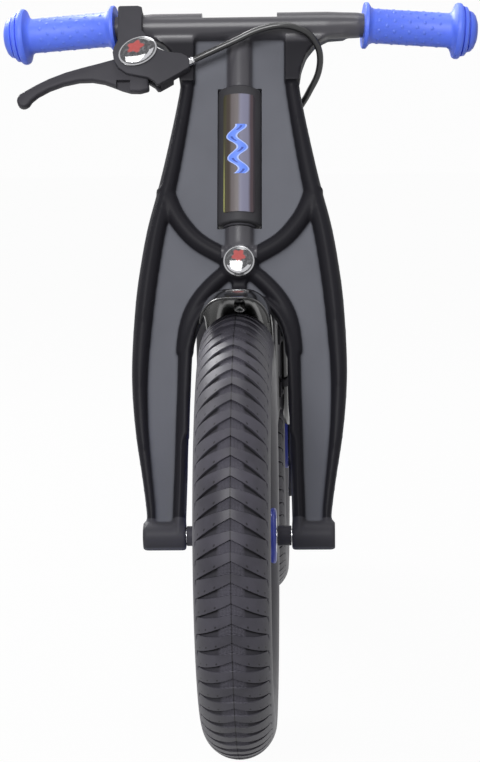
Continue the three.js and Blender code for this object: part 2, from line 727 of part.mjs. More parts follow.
add(steering, 'upper_steering_bush', steeringBush(HEAD_TOP, 1), 'darkSteel');
add(steering, 'lower_steering_bush', steeringBush(HEAD_BOTTOM, -1), 'darkSteel');

// ---------------------------------------------------------------- front axle set

const bossEnd = DROPOUT + BOSS_LENGTH;
const axleEnd = bossEnd - BOLT_SINK - GAP;

function drilledAxle(end) {
  return cut(
    solid(rod([-end, 0, 0], [end, 0, 0], AXLE_RADIUS)),
    rod([end - BOLT_LENGTH - 1, 0, 0], [end + 1, 0, 0], BOLT_RADIUS + GAP),
    rod([-end - 1, 0, 0], [-end + BOLT_LENGTH + 1, 0, 0], BOLT_RADIUS + GAP),
  );
}

function axleBolt(side) {
  const head = rod([side * (axleEnd + GAP), 0, 0], [side * (axleEnd + 6), 0, 0], AXLE_RADIUS + 1.7);
  const shank = rod([side * (axleEnd - BOLT_LENGTH), 0, 0], [side * (axleEnd + 1), 0, 0], BOLT_RADIUS);
  const socket = rod([side * (axleEnd + 3), 0, 0], [side * (axleEnd + 7), 0, 0], 3, 3, 6);
  return cut(join(head, shank), socket);
}

add(steering, 'front_axle', drilledAxle(axleEnd), 'steel');
for (const [side, name] of [[-1, 'right'], [1, 'left']]) {
  add(steering, `front_axle_bolt_${name}`, axleBolt(side), 'darkSteel');
  const ends = [side * (HUB_HALF_LENGTH + GAP), side * (DROPOUT - GAP)].sort((a, b) => a - b);
  add(steering, `front_spacer_${name}`, solid(ring(...ends, BORE, FRONT_SPACER_RADIUS)), 'moulding');
}

// ---------------------------------------------------------------- front mudguard

function mudguard() {
  // Shares of the half width with their fall: flat under the washer, then rounded down to the edge.
  const flat = (WASHER_RADIUS + 1) / GUARD_HALF_WIDTH;
  const round = [0, 28, 52, 72, 90].map((degrees) => {
    const turn = THREE.MathUtils.degToRad(degrees);
    return [flat + (1 - flat) * Math.sin(turn), GUARD_DROP * (1 - Math.cos(turn))];
  });
  const half = [[0, 0], ...round];
  const crest = half.map(([share, fall]) => [share * GUARD_HALF_WIDTH, GUARD_RADIUS - fall]);
  const under = half.map(([share, fall]) => [share * (GUARD_HALF_WIDTH - 1.6), GUARD_INSIDE - fall]);
  const flip = ([x, r]) => [-x, r];
  const profile = [
    ...crest,
    ...under.reverse(),
    ...under.slice(0, -1).reverse().map(flip),
    ...crest.slice(1).reverse().map(flip),
  ];
  const band = solid(turned([...profile, profile[0]], 120)).translate([0, 0, GUARD_FORWARD]);
  const front = THREE.MathUtils.degToRad(GUARD_FRONT_ANGLE);
  const rear = THREE.MathUtils.degToRad(GUARD_REAR_ANGLE);
  const far = GUARD_RADIUS * 1.4;
  const wedge = sideExtruded(
    polygon([
      [0, 0],
      [far * Math.cos(front), far * Math.sin(front)],
      [far, 0],
      [far * Math.cos(rear), -far * Math.sin(rear)],
    ]),
    -GUARD_HALF_WIDTH - 5,
    GUARD_HALF_WIDTH + 5,
  );
  const hole = bore([0, GUARD_INSIDE - 5, 0], [0, GUARD_RADIUS + 5, 0], GUARD_SCREW_RADIUS);
  return cut(band.intersect(solid(wedge)), hole);
}

// Height of a round face about the guard's middle, at a place forward of the steering axis.
const guardAt = (radius, forward) => Math.sqrt(radius ** 2 - (forward - GUARD_FORWARD) ** 2);
const screwHead = guardAt(GUARD_INSIDE, -SCREW_HEAD_RADIUS) - GAP;
const washerSeat = guardAt(GUARD_RADIUS, WASHER_RADIUS) + GAP;
add(steering, 'front_mudguard', mudguard(), 'gloss');
add(
  steering,
  'mudguard_washer',
  cut(
    solid(rod([0, washerSeat, 0], [0, washerSeat + 1, 0], WASHER_RADIUS)),
    bore([0, washerSeat - 1, 0], [0, washerSeat + 3, 0], GUARD_SCREW_RADIUS),
  ),
  'steel',
);
add(
  steering,
  'mudguard_screw',
  join(
    rod([0, screwHead - 2.6, 0], [0, screwHead, 0], 3.4, SCREW_HEAD_RADIUS),
    rod([0, screwHead - 1, 0], [0, ARCH_TOP, 0], GUARD_SCREW_RADIUS, GUARD_SCREW_RADIUS, 12),
  ),
  'steel',
);

// ---------------------------------------------------------------- badges and foil strip

function domedDisc(radius, thickness, dome) {
  const profile = [[0, 0], [radius, 0], [radius, thickness], [radius * 0.8, thickness + dome * 0.55]];
  profile.push([radius * 0.45, thickness + dome * 0.9], [0, thickness + dome]);
  return new THREE.LatheGeometry(profile.map(([r, z]) => new THREE.Vector2(r, z)), 16).rotateX(Math.PI / 2);
}

const badge = add(steering, 'centre_badge', solid(domedDisc(11.6, 1.4, 2.2)), 'badge');
badge.position.set(0, BADGE_HEIGHT, 12 + GAP);

function foilStrip() {
  const inner = HEAD_TUBE_RADIUS + GAP;
  const outer = inner + 0.5;
  const spread = THREE.MathUtils.degToRad(STICKER_SPREAD);
  const section = new THREE.Shape();
  section.absarc(0, 0, outer, -Math.PI / 2 - spread, -Math.PI / 2 + spread, false);
  section.absarc(0, 0, inner, -Math.PI / 2 + spread, -Math.PI / 2 - spread, true);
  return extruded(section, HEAD_BOTTOM + STICKER_MARGIN, HEAD_TOP - STICKER_MARGIN, 6).rotateX(-Math.PI / 2);
}

add(steering, 'head_tube_sticker', solid(foilStrip()), 'foil');

// ---------------------------------------------------------------- brake lever

// Its group's origin is on the handlebar's height, at the middle of the clamp.
const lever = new THREE.Group();
lever.position.set(CLAMP_CENTRE, BAR_HEIGHT, 0);
steering.add(lever);

// The lever's outlines are drawn for a lever 85 long.
const sized = (value) => value * LEVER_LENGTH / 85;
const LEVER_PIVOT = new THREE.Vector2(sized(6), sized(-26.7));
const CLAMP_SCREW = new THREE.Vector2(sized(16), sized(-16.5));
const CABLE_EXIT_ANGLE = THREE.MathUtils.degToRad(25);
const NOSE = new THREE.Vector3(sized(43.8), sized(-32.2), (NOSE_BACK + LEVER_BODY_FRONT) / 2);
const exitDirection = new THREE.Vector3(Math.cos(CABLE_EXIT_ANGLE), Math.sin(CABLE_EXIT_ANGLE), 0);
const alongExit = (distance) => NOSE.clone().addScaledVector(exitDirection, distance).toArray();
const pivotPlace = (forward) => [LEVER_PIVOT.x, LEVER_PIVOT.y, forward];
const clampScrewPlace = (forward) => [CLAMP_SCREW.x, CLAMP_SCREW.y, forward];

function leverHousing() {
  const clampEnd = CLAMP_WIDTH / 2;
  const neckStart = -BAR_NECK_START - CLAMP_CENTRE;
  const barPlace = (u) => [u, 0, BAR_FORWARD];
  const collarRadius = BAR_NECK_RADIUS + GAP + CLAMP_WALL;
  const place = (u, v) => [sized(u), sized(v)];
  const body = new THREE.Shape();
  body.moveTo(clampEnd, 0);
  body.lineTo(...place(13, -7.7));
  body.quadraticCurveTo(...place(20, -20.7), ...place(32, -25.7));
  body.lineTo(...place(39, -26.2));
  body.lineTo(...place(45, -30.7));
  body.lineTo(...place(45, -37.7));
  body.lineTo(...place(21, -51.7));
  body.quadraticCurveTo(...place(16, -44.7), ...place(6, -43.7));
  body.quadraticCurveTo(...place(-11, -40.7), ...place(-12.5, -25.7));
  body.lineTo(-clampEnd, sized(-19));
  body.lineTo(-clampEnd, 0);
  const slotEdge = [
    place(-20, -62.7), place(23, -62.7), place(23, -36.7), place(16, -17.2), place(-20, -17.2),
  ];
  return cut(
    join(
      rod(barPlace(-clampEnd), barPlace(clampEnd), collarRadius, undefined, 20),
      extruded(body, LEVER_BODY_BACK, LEVER_BODY_FRONT, 6),
    ),
    rod(barPlace(-clampEnd - 1), barPlace(sized(15)), BAR_NECK_RADIUS + GAP),
    rod(barPlace(neckStart - GAP), barPlace(neckStart + CLAMP_WIDTH), BAR_RADIUS + GAP),
    extruded(polygon(slotEdge), LEVER_SLOT_BACK, LEVER_SLOT_FRONT),
    bore(pivotPlace(LEVER_BODY_BACK - 2), pivotPlace(LEVER_BODY_FRONT + 2), PIN_RADIUS),
    box([...place(32.5, -62.7), LEVER_BODY_BACK - 1], [...place(53, -12.7), NOSE_BACK]),
    bore(alongExit(sized(-6)), alongExit(6), FERRULE_RADIUS),
    bore(alongExit(sized(-35)), alongExit(0), WIRE_RADIUS, 8),
    bore(clampScrewPlace(LEVER_BODY_BACK - 2), clampScrewPlace(LEVER_SLOT_FRONT), SCREW_RADIUS),
  );
}

function leverBlade() {
  const place = (u, v) => [sized(u), sized(v)];
  const blade = new THREE.Shape();
  blade.moveTo(...place(12.2, -21.9));
  blade.quadraticCurveTo(...place(6.3, -16.7), ...place(0.2, -21.5));
  blade.lineTo(...place(-12.1, -28.6));
  blade.quadraticCurveTo(...place(-39.3, -35.3), ...place(-60.5, -43.1));
  blade.lineTo(...place(-79.9, -54));
  blade.quadraticCurveTo(...place(-86, -56.8), ...place(-84.2, -62.9));
  blade.quadraticCurveTo(...place(-79.4, -69), ...place(-73.2, -63.2));
  blade.quadraticCurveTo(...place(-60.8, -52.6), ...place(-49.7, -48));
  blade.quadraticCurveTo(...place(-29.5, -42.6), ...place(-12.7, -49.1));
  blade.lineTo(...place(1.1, -54.6));
  blade.lineTo(...place(15.2, -53));
  blade.lineTo(...place(13.6, -40.9));
  blade.lineTo(...place(12.2, -21.9));
  return cut(
    solid(extruded(blade, LEVER_SLOT_BACK + GAP, LEVER_SLOT_FRONT - GAP, 5)),
    bore(pivotPlace(0), pivotPlace(LEVER_BODY_FRONT + 10), PIN_RADIUS),
  );
}

add(lever, 'brake_lever_housing', leverHousing(), 'moulding');
add(lever, 'brake_lever_blade', leverBlade(), 'moulding');
add(
  lever,
  'lever_pivot_pin',
  solid(rod(pivotPlace(LEVER_BODY_BACK), pivotPlace(LEVER_BODY_FRONT), PIN_RADIUS, undefined, 12)),
  'steel',
);
add(
  lever,
  'clamp_screw',
  join(
    rod(clampScrewPlace(LEVER_BODY_BACK - 3), clampScrewPlace(LEVER_BODY_BACK - GAP), 3.4),
    pin(clampScrewPlace(LEVER_BODY_BACK - 1), clampScrewPlace(LEVER_SLOT_FRONT - 1), SCREW_RADIUS),
  ),
  'steel',
);
add(
  lever,
  'cable_ferrule',
  cut(
    solid(pin(alongExit(sized(-6) + GAP), alongExit(FERRULE_REACH), FERRULE_RADIUS)),
    bore(alongExit(sized(-8)), alongExit(FERRULE_REACH + 2), WIRE_RADIUS, 8),
  ),
  'steel',
);

const ovalBadge = solid(domedDisc(sized(10.8), 1.2, 1.8).scale(1.42, 1, 1));
const leverBadge = add(lever, 'lever_badge', ovalBadge, 'badge');
leverBadge.position.set(sized(6.3), sized(-24.7), LEVER_BODY_FRONT + GAP);
leverBadge.rotation.z = THREE.MathUtils.degToRad(25);

// ---------------------------------------------------------------- main frame

const seatDirection = new THREE.Vector3(
  0,
  Math.sin(THREE.MathUtils.degToRad(SEAT_TUBE_ANGLE)),
  Math.cos(THREE.MathUtils.degToRad(SEAT_TUBE_ANGLE)),
);
const seatBase = new THREE.Vector3(0, REAR_AXLE.y - SEAT_FORWARD, REAR_AXLE.z + SEAT_RISE);
const seatPoint = (distance) => seatBase.clone().addScaledVector(seatDirection, distance).toArray();

// A place of the steering frame, in the bike's Y and Z.
function onSteering(height, forward) {
  const y = FRONT_AXLE.y + height * Math.sin(LEAN) - forward * Math.cos(LEAN);
  const z = FRONT_AXLE.z + height * Math.cos(LEAN) + forward * Math.sin(LEAN);
  return [y, z];
}

const YOKE_FRONT = REAR_AXLE.y - YOKE_FORWARD;
const BEAM_BOTTOM = TYRE_RADIUS + BEAM_RISE;
const BEAM_TOP = BEAM_BOTTOM + BEAM_HEIGHT;
const YOKE_STEPS = [0.73, 0.48, 0.25].map((share) => BEAM_BOTTOM + share * BEAM_HEIGHT);
const TYRE_ROOM = TYRE_RADIUS + TYRE_CLEARANCE;
const yokeBack = (height) => REAR_AXLE.y - Math.sqrt(TYRE_ROOM ** 2 - (height - TYRE_RADIUS) ** 2);
// A place behind the front axle and above the axles' height, in the bike's Y and Z.
const behind = (back, rise) => [FRONT_AXLE.y + back, TYRE_RADIUS + rise];

function mainFrame() {
  const start = onSteering(HEAD_BOTTOM, 0);
  const end = onSteering(HEAD_TOP, 0);
  const headTube = rod([0, ...start], [0, ...end], HEAD_TUBE_RADIUS, undefined, 20);
  const neck = polygon([
    onSteering(HEAD_BOTTOM + 3, -8),
    onSteering(HEAD_BOTTOM - 5, -70),
    onSteering(HEAD_TOP - 30, -95),
    onSteering(HEAD_TOP - 3, -8),
  ]);
  const cheek = polygon([
    onSteering(HEAD_BOTTOM + 3, -WINDOW_HALF_WIDTH),
    onSteering(HEAD_BOTTOM + 3, -WINDOW_HALF_WIDTH - CHEEK_THICKNESS),
    onSteering(HEAD_TOP + 3, -WINDOW_HALF_WIDTH - CHEEK_THICKNESS),
    onSteering(HEAD_TOP + 3, -WINDOW_HALF_WIDTH),
  ]);
  const beam = new THREE.Shape();
  beam.moveTo(...onSteering(HEAD_TOP - 24, -50));
  beam.quadraticCurveTo(...behind(195, 145), YOKE_FRONT - 46, BEAM_TOP);
  beam.lineTo(YOKE_FRONT + 8, BEAM_TOP);
  beam.lineTo(yokeBack(BEAM_TOP), BEAM_TOP);
  for (const height of YOKE_STEPS) {
    beam.lineTo(yokeBack(height), height);
  }
  beam.lineTo(yokeBack(BEAM_BOTTOM), BEAM_BOTTOM);
  beam.lineTo(...behind(218, BEAM_RISE));
  beam.quadraticCurveTo(...behind(196, BEAM_RISE), ...behind(188, 75));
  beam.quadraticCurveTo(...behind(175, 145), ...onSteering(HEAD_BOTTOM - 5, -52));
  const yoke = new THREE.Shape();
  yoke.moveTo(YOKE_FRONT, BEAM_BOTTOM);
  yoke.lineTo(YOKE_FRONT, BEAM_TOP - 12);
  yoke.lineTo(YOKE_FRONT + 14, BEAM_TOP);
  yoke.lineTo(yokeBack(BEAM_TOP), BEAM_TOP);
  for (const height of YOKE_STEPS) {
    yoke.lineTo(yokeBack(height), height);
  }
  yoke.lineTo(yokeBack(BEAM_BOTTOM), BEAM_BOTTOM);
  const stay = new THREE.Shape();
  stay.moveTo(YOKE_FRONT, BEAM_BOTTOM);
  stay.lineTo(YOKE_FRONT, BEAM_TOP - 12);
  stay.lineTo(YOKE_FRONT + 14, BEAM_TOP);
  stay.lineTo(yokeBack(BEAM_TOP) - 8, BEAM_TOP);
  stay.quadraticCurveTo(REAR_AXLE.y - 60, TYRE_RADIUS + 45, REAR_AXLE.y + 8, TYRE_RADIUS + 13);
  stay.lineTo(REAR_AXLE.y + 15, TYRE_RADIUS);
  stay.lineTo(REAR_AXLE.y + 8, TYRE_RADIUS - 13);
  stay.lineTo(REAR_AXLE.y - 12, TYRE_RADIUS - 14);
  stay.quadraticCurveTo(REAR_AXLE.y - 90, TYRE_RADIUS + 10, yokeBack(BEAM_BOTTOM) - 8, BEAM_BOTTOM);
  const outside = DROPOUT + STAY_THICKNESS;
  const seatTube = pin(seatPoint(-20), seatPoint(SEAT_TUBE_LENGTH), SEAT_TUBE_RADIUS, SEAT_SIDES);
  const whole = join(
    headTube,
    sideExtruded(neck, -NECK_HALF_WIDTH, NECK_HALF_WIDTH),
    sideExtruded(cheek, -WINDOW_HALF_WIDTH - CHEEK_LAP, WINDOW_HALF_WIDTH + CHEEK_LAP),
    sideExtruded(beam, -BEAM_HALF_WIDTH, BEAM_HALF_WIDTH),
    sideExtruded(yoke, -outside, outside),
    sideExtruded(stay, DROPOUT, outside),
    sideExtruded(stay, -outside, -DROPOUT),
    seatTube,
  );
  const axle = (radius) => rod([-80, REAR_AXLE.y, REAR_AXLE.z], [80, REAR_AXLE.y, REAR_AXLE.z], radius);
  const boreStart = onSteering(HEAD_BOTTOM - 20, 0);
  const boreEnd = onSteering(HEAD_TOP + 20, 0);
  const recess = (height, direction) => rod(
    [0, ...onSteering(height - direction * BUSH_DEPTH, 0)],
    [0, ...onSteering(height + direction * 5, 0)],
    BUSH_RADIUS,
  );
  return cut(
    whole,
    rod([0, ...boreStart], [0, ...boreEnd], SHAFT_RADIUS + 1),
    recess(HEAD_TOP, 1),
    recess(HEAD_BOTTOM, -1),
    axle(BORE),
    bore(seatPoint(POST_BOTTOM - 3), seatPoint(SEAT_TUBE_LENGTH + 5), SEAT_POST_RADIUS, SEAT_SIDES),
  );
}

add(bike, 'main_frame', mainFrame(), 'frame');

// ---------------------------------------------------------------- seat clamp, post and saddle

function seatCollar() {
  const top = SEAT_TUBE_LENGTH + 3;
  const outer = SEAT_TUBE_RADIUS + GAP + COLLAR_WALL;
  const sleeve = pin(seatPoint(top - COLLAR_HEIGHT), seatPoint(top), outer, SEAT_SIDES);
  const middle = seatPoint(top - COLLAR_HEIGHT / 2);
  const ears = new THREE.BoxGeometry(14, 14, COLLAR_HEIGHT - 2);
  ears.rotateX(-THREE.MathUtils.degToRad(SEAT_TUBE_ANGLE));
  ears.translate(0, middle[1] + outer + 3, middle[2]);
  const slit = new THREE.BoxGeometry(2, 30, COLLAR_HEIGHT + 8);
  slit.rotateX(-THREE.MathUtils.degToRad(SEAT_TUBE_ANGLE));
  slit.translate(0, middle[1] + outer + 6, middle[2]);
  const boltY = middle[1] + outer + 4.5;
  return cut(
    join(sleeve, ears),
    bore(seatPoint(top - COLLAR_HEIGHT - 5), seatPoint(top - 3 + GAP), SEAT_TUBE_RADIUS, SEAT_SIDES),
    bore(seatPoint(top - 6), seatPoint(top + 5), SEAT_POST_RADIUS, SEAT_SIDES),
    slit,
    rod([-20, boltY, middle[2]], [20, boltY, middle[2]], 2.5 + GAP, undefined, 12),
  );
}

function seatClampBolt() {
  const middle = seatPoint(SEAT_TUBE_LENGTH + 3 - COLLAR_HEIGHT / 2);
  const y = middle[1] + SEAT_TUBE_RADIUS + GAP + COLLAR_WALL + 4.5;
  return join(
    rod([-11, y, middle[2]], [7 + GAP + 4, y, middle[2]], 2.5, undefined, 12),
    rod([7 + GAP, y, middle[2]], [7 + GAP + 4.5, y, middle[2]], 4.4),
    rod([-7 - GAP - 4, y, middle[2]], [-7 - GAP, y, middle[2]], 4.6, undefined, 6),
  );
}

add(bike, 'seat_clamp_collar', seatCollar(), 'darkSteel');
add(bike, 'seat_clamp_bolt', seatClampBolt(), 'steel');

add(
  bike,
  'seat_post',
  solid(pin(seatPoint(POST_BOTTOM), seatPoint(POST_TOP), SEAT_POST_RADIUS, SEAT_SIDES)),
  'darkSteel',
);

const saddleMiddle = seatPoint(POST_TOP)[1];
const saddleBase = seatPoint(POST_TOP)[2] + 1;

// Saddle outline seen from above, a little smaller when an inset is given.
function saddleOutline(inset) {
  const nose = SADDLE_NOSE_HALF_WIDTH - inset;
  const wide = SADDLE_HALF_WIDTH - inset;
  const front = saddleMiddle - SADDLE_LENGTH * 0.52 + inset;
  const back = front + SADDLE_LENGTH - 2 * inset;
  const half = [
    [nose * 0.7, front + 3],
    [nose, front + 18],
    [nose + 3, front + SADDLE_LENGTH * 0.38],
    [wide - 10, front + SADDLE_LENGTH * 0.62],
    [wide, front + SADDLE_LENGTH * 0.8],
    [wide * 0.72, back - 5],
  ];
  const flip = ([x, y]) => [-x, y];
  return smoothOutline([...half, [0, back], ...half.map(flip).reverse(), [0, front]], 32);
}

function saddleShell() {
  const plate = extruded(saddleOutline(1.5), saddleBase, saddleBase + SADDLE_SHELL_THICKNESS);
  const socketRadius = SEAT_POST_RADIUS + GAP + SADDLE_SHELL_THICKNESS / 2;
  const socketEnd = POST_TOP - SADDLE_SOCKET_DEPTH;
  const socket = pin(seatPoint(socketEnd), seatPoint(POST_TOP + 4), socketRadius, SEAT_SIDES);
  const above = saddleBase + SADDLE_SHELL_THICKNESS;
  return cut(
    join(plate, socket),
    bore(seatPoint(socketEnd - 5), seatPoint(POST_TOP + GAP), SEAT_POST_RADIUS, SEAT_SIDES),
    box([-SADDLE_LENGTH, -SADDLE_LENGTH, above], [SADDLE_LENGTH, 2 * SADDLE_LENGTH, above + SADDLE_LENGTH]),
  );
}

function saddleCushion() {
  const start = saddleBase + SADDLE_SHELL_THICKNESS + GAP;
  const bevel = 7;
  const options = {
    depth: CUSHION_THICKNESS - bevel,
    bevelEnabled: true,
    bevelThickness: bevel,
    bevelSize: bevel,
    bevelOffset: -bevel,
    bevelSegments: 2,
  };
  const padded = new THREE.ExtrudeGeometry(saddleOutline(0), options).translate(0, 0, start);
  return cut(
    solid(padded),
    box([-SADDLE_LENGTH, -SADDLE_LENGTH, start - SADDLE_LENGTH], [SADDLE_LENGTH, 2 * SADDLE_LENGTH, start]),
  );
}

add(bike, 'saddle_shell', saddleShell(), 'frame');
add(bike, 'saddle_cushion', saddleCushion(), 'cushion');

// ---------------------------------------------------------------- rear axle set

const stayOutside = DROPOUT + STAY_THICKNESS;

const rearAxleEnd = stayOutside + NUT_WIDTH + 2;
add(rearWheel, 'rear_axle', solid(rod([-rearAxleEnd, 0, 0], [rearAxleEnd, 0, 0], AXLE_RADIUS)), 'steel');
for (const [side, name] of [[-1, 'right'], [1, 'left']]) {
  const near = side * (stayOutside + GAP);
  const far = side * (stayOutside + GAP + NUT_WIDTH);
  const body = solid(pin([near, 0, 0], [far, 0, 0], NUT_RADIUS, 6));
  const nut = cut(body, bore([near - side, 0, 0], [far + side, 0, 0], AXLE_RADIUS));
  add(rearWheel, `rear_axle_nut_${name}`, nut, 'steel');
}
const plateOutside = HUB_HALF_LENGTH + GAP + PLATE_THICKNESS;
const rightSpacer = ring(-DROPOUT + GAP, -HUB_HALF_LENGTH - GAP, BORE, FRONT_SPACER_RADIUS);
const leftSpacer = ring(plateOutside + GAP, DROPOUT - GAP, BORE, FRONT_SPACER_RADIUS);
add(rearWheel, 'rear_spacer_right', solid(rightSpacer), 'moulding');
add(rearWheel, 'rear_spacer_left', solid(leftSpacer), 'moulding');

// ---------------------------------------------------------------- rear drum brake

const shoeStart = DRUM_FLOOR + 1.5;
const shoeEnd = HUB_HALF_LENGTH - 0.5;

function brakePlate() {
  const start = HUB_HALF_LENGTH + GAP;
  const disc = ring(start, plateOutside, BORE, DRUM_RADIUS + DRUM_WALL, 24);
  const tab = sideExtruded(
    polygon([
      [-20, -34],
      [CABLE_STOP.x - 7, CABLE_STOP.y + 4],
      [CABLE_STOP.x - 7, CABLE_STOP.y - 5],
      [CABLE_STOP.x + 7, CABLE_STOP.y - 5],
      [2 - 20, -42],
      [-8, -38],
    ]),
    start,
    plateOutside,
  );
  const stud = rod([start, -20, 5], [DROPOUT - GAP, -20, 5], 4);
  return cut(
    join(disc, tab, stud),
    rod([start - 1, 0, -CAM_OFFSET], [plateOutside + 1, 0, -CAM_OFFSET], 4 + GAP),
    bore([start - 1, 0, CAM_OFFSET], [plateOutside + 1, 0, CAM_OFFSET], ANCHOR_PIN_RADIUS),
    bore([start - 1, CABLE_STOP.x, CABLE_STOP.y], [plateOutside + 1, CABLE_STOP.x, CABLE_STOP.y], 2),
  );
}

// Crescent shoe on one side of the axle. It swings on the anchor pin above the axle.
function brakeShoe(side) {
  const inner = SHOE_RADIUS - SHOE_THICKNESS;
  const gapAtPin = Math.asin((ANCHOR_PIN_RADIUS + RUN) / CAM_OFFSET);
  const gapAtCam = Math.asin((CAM_THICKNESS / 2 + GAP) / inner);
  const shape = new THREE.Shape();
  shape.absarc(0, 0, SHOE_RADIUS, -Math.PI / 2 + gapAtCam, Math.PI / 2 - gapAtPin, false);
  shape.absarc(0, 0, inner, Math.PI / 2 - gapAtPin, -Math.PI / 2 + gapAtCam, true);
  const crescent = sideExtruded(shape, shoeStart, shoeEnd);
  return solid(side > 0 ? crescent : crescent.scale(1, -1, 1));
}

function camArm() {
  const cam = box(
    [shoeStart, -CAM_THICKNESS / 2, -CAM_OFFSET - CAM_HEIGHT / 2],
    [shoeEnd + 2 * GAP, CAM_THICKNESS / 2, -CAM_OFFSET + CAM_HEIGHT / 2],
  );
  const armStart = plateOutside + RUN;
  const shaft = rod([shoeEnd + GAP, 0, -CAM_OFFSET], [armStart + ARM_THICKNESS, 0, -CAM_OFFSET], 4);
  const arm = box(
    [armStart, -5, -CAM_OFFSET - ARM_LENGTH],
    [armStart + ARM_THICKNESS, 5, -CAM_OFFSET],
  );
  const hub = rod([armStart, 0, -CAM_OFFSET], [armStart + ARM_THICKNESS, 0, -CAM_OFFSET], 6.5);
  return join(cam, shaft, arm, hub);
}

function cableStop() {
  const middle = plateOutside + STOP_STANDOFF;
  const { x: y, y: z } = CABLE_STOP;
  const barrel = rod([middle, y - STOP_LENGTH / 2, z], [middle, y + STOP_LENGTH / 2, z], STOP_RADIUS);
  const stud = rod([HUB_HALF_LENGTH, y, z], [middle, y, z], 2, undefined, 12);
  const wireWay = bore([middle, y - STOP_LENGTH, z], [middle, y + STOP_LENGTH, z], WIRE_RADIUS, 8);
  return cut(join(barrel, stud), wireWay);
}

add(rearWheel, 'brake_plate', brakePlate(), 'darkSteel');
add(rearWheel, 'brake_shoe_rear', brakeShoe(1), 'lining');
add(rearWheel, 'brake_shoe_front', brakeShoe(-1), 'lining');
add(rearWheel, 'brake_cam_arm', camArm(), 'steel');
add(
  rearWheel,
  'shoe_anchor_pin',
  solid(rod([shoeStart, 0, CAM_OFFSET], [plateOutside, 0, CAM_OFFSET], ANCHOR_PIN_RADIUS, undefined, 12)),
  'steel',
);
add(rearWheel, 'cable_stop', cableStop(), 'steel');

// ---------------------------------------------------------------- brake cable and clips

const CABLE_SIDE = BEAM_HALF_WIDTH + GAP + CABLE_RADIUS + CLIP_WALL; // cable's line beside the beam
const stopX = plateOutside + STOP_STANDOFF;
const onSteering3 = (u, v, w) => [u, ...onSteering(v, w)];
const [exitU, exitV, exitW] = alongExit(FERRULE_REACH + GAP);
const leverExit = new THREE.Vector3(CLAMP_CENTRE + exitU, BAR_HEIGHT + exitV, exitW);
const stopEnd = [REAR_AXLE.y + CABLE_STOP.x - STOP_LENGTH / 2 - GAP, REAR_AXLE.z + CABLE_STOP.y];

// The cable's places from the lever's nose, from the handlebar and from the rear axle.
const fromLever = (u, v, w) => onSteering3(leverExit.x + u, leverExit.y + v, leverExit.z + w);
const fromBar = (u, down, w) => onSteering3(u, BAR_HEIGHT - down, w);
const fromAxle = (x, y, z) => [x, REAR_AXLE.y + y, REAR_AXLE.z + z];

// Where the cable comes down behind the head tube, and where it dives to the brake.
const cableTop = onSteering3(CABLE_SIDE, HEAD_TOP - 76.4, -106.8);
const cableDive = fromAxle(CABLE_SIDE + 11, -150, 25);
const besideBeam = (x, back, down) => [
  x,
  THREE.MathUtils.lerp(cableTop[1], cableDive[1], back),
  THREE.MathUtils.lerp(cableTop[2], cableDive[2], down),
];

const CABLE_ROUTE = [
  fromLever(0, 0, 0),
  fromLever(13, 6, 0.7),
  fromBar(-3.4, 17, 19),
  fromBar(14, 9.5, 21),
  fromBar(33, 6.3, 22),
  fromBar(49, 9.7, 18),
  fromBar(57.5, 16.5, 12),
  fromBar(60.5, 25, 5),
  fromBar(58.5, 35.5, -4),
  fromBar(51, 47, -14),
  fromBar(40, 62, -32),
  onSteering3(CABLE_SIDE + 3, HEAD_TOP - 42, -66.6),
  cableTop,
  besideBeam(CABLE_SIDE, 0.16, 0.3),
  besideBeam(CABLE_SIDE, 0.33, 0.578),
  besideBeam(CABLE_SIDE, 0.472, 0.822),
  besideBeam(CABLE_SIDE + 1, 0.623, 0.939),
  besideBeam(CABLE_SIDE + 4, 0.811, 0.961),
  cableDive,
  fromAxle(41, -115, 3),
  fromAxle(39, -90, -27),
  fromAxle(36, -70, -50),
  [stopX, stopEnd[0] - 6.7, stopEnd[1] + 0.5],
  [stopX, ...stopEnd],
];

add(bike, 'brake_cable', solid(sweep(CABLE_ROUTE, CABLE_RADIUS, CABLE_RADIUS, 54, 4)), 'cable');

const cableLine = new THREE.CatmullRomCurve3(CABLE_ROUTE.map((p) => new THREE.Vector3(...p)));

// Ring clip that holds the cable on the beam's side, halfway between two of its places.
function cableClip(fromIndex) {
  const share = (fromIndex + 0.5) / (CABLE_ROUTE.length - 1);
  const middle = cableLine.getPoint(share);
  const along = cableLine.getTangent(share);
  const place = (distance) => middle.clone().addScaledVector(along, distance).toArray();
  return cut(
    solid(pin(place(-CLIP_LENGTH / 2), place(CLIP_LENGTH / 2), CABLE_RADIUS + CLIP_WALL)),
    rod(place(-CLIP_LENGTH), place(CLIP_LENGTH), CABLE_RADIUS + 3 * GAP),
  );
}

add(bike, 'cable_clip_upper', cableClip(13), 'moulding');
add(bike, 'cable_clip_lower', cableClip(14), 'moulding');

export default bike;
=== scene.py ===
"""Child's balance bike: the finished surfaces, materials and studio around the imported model."""

import json
import math

import bpy
from mathutils import Matrix, Vector

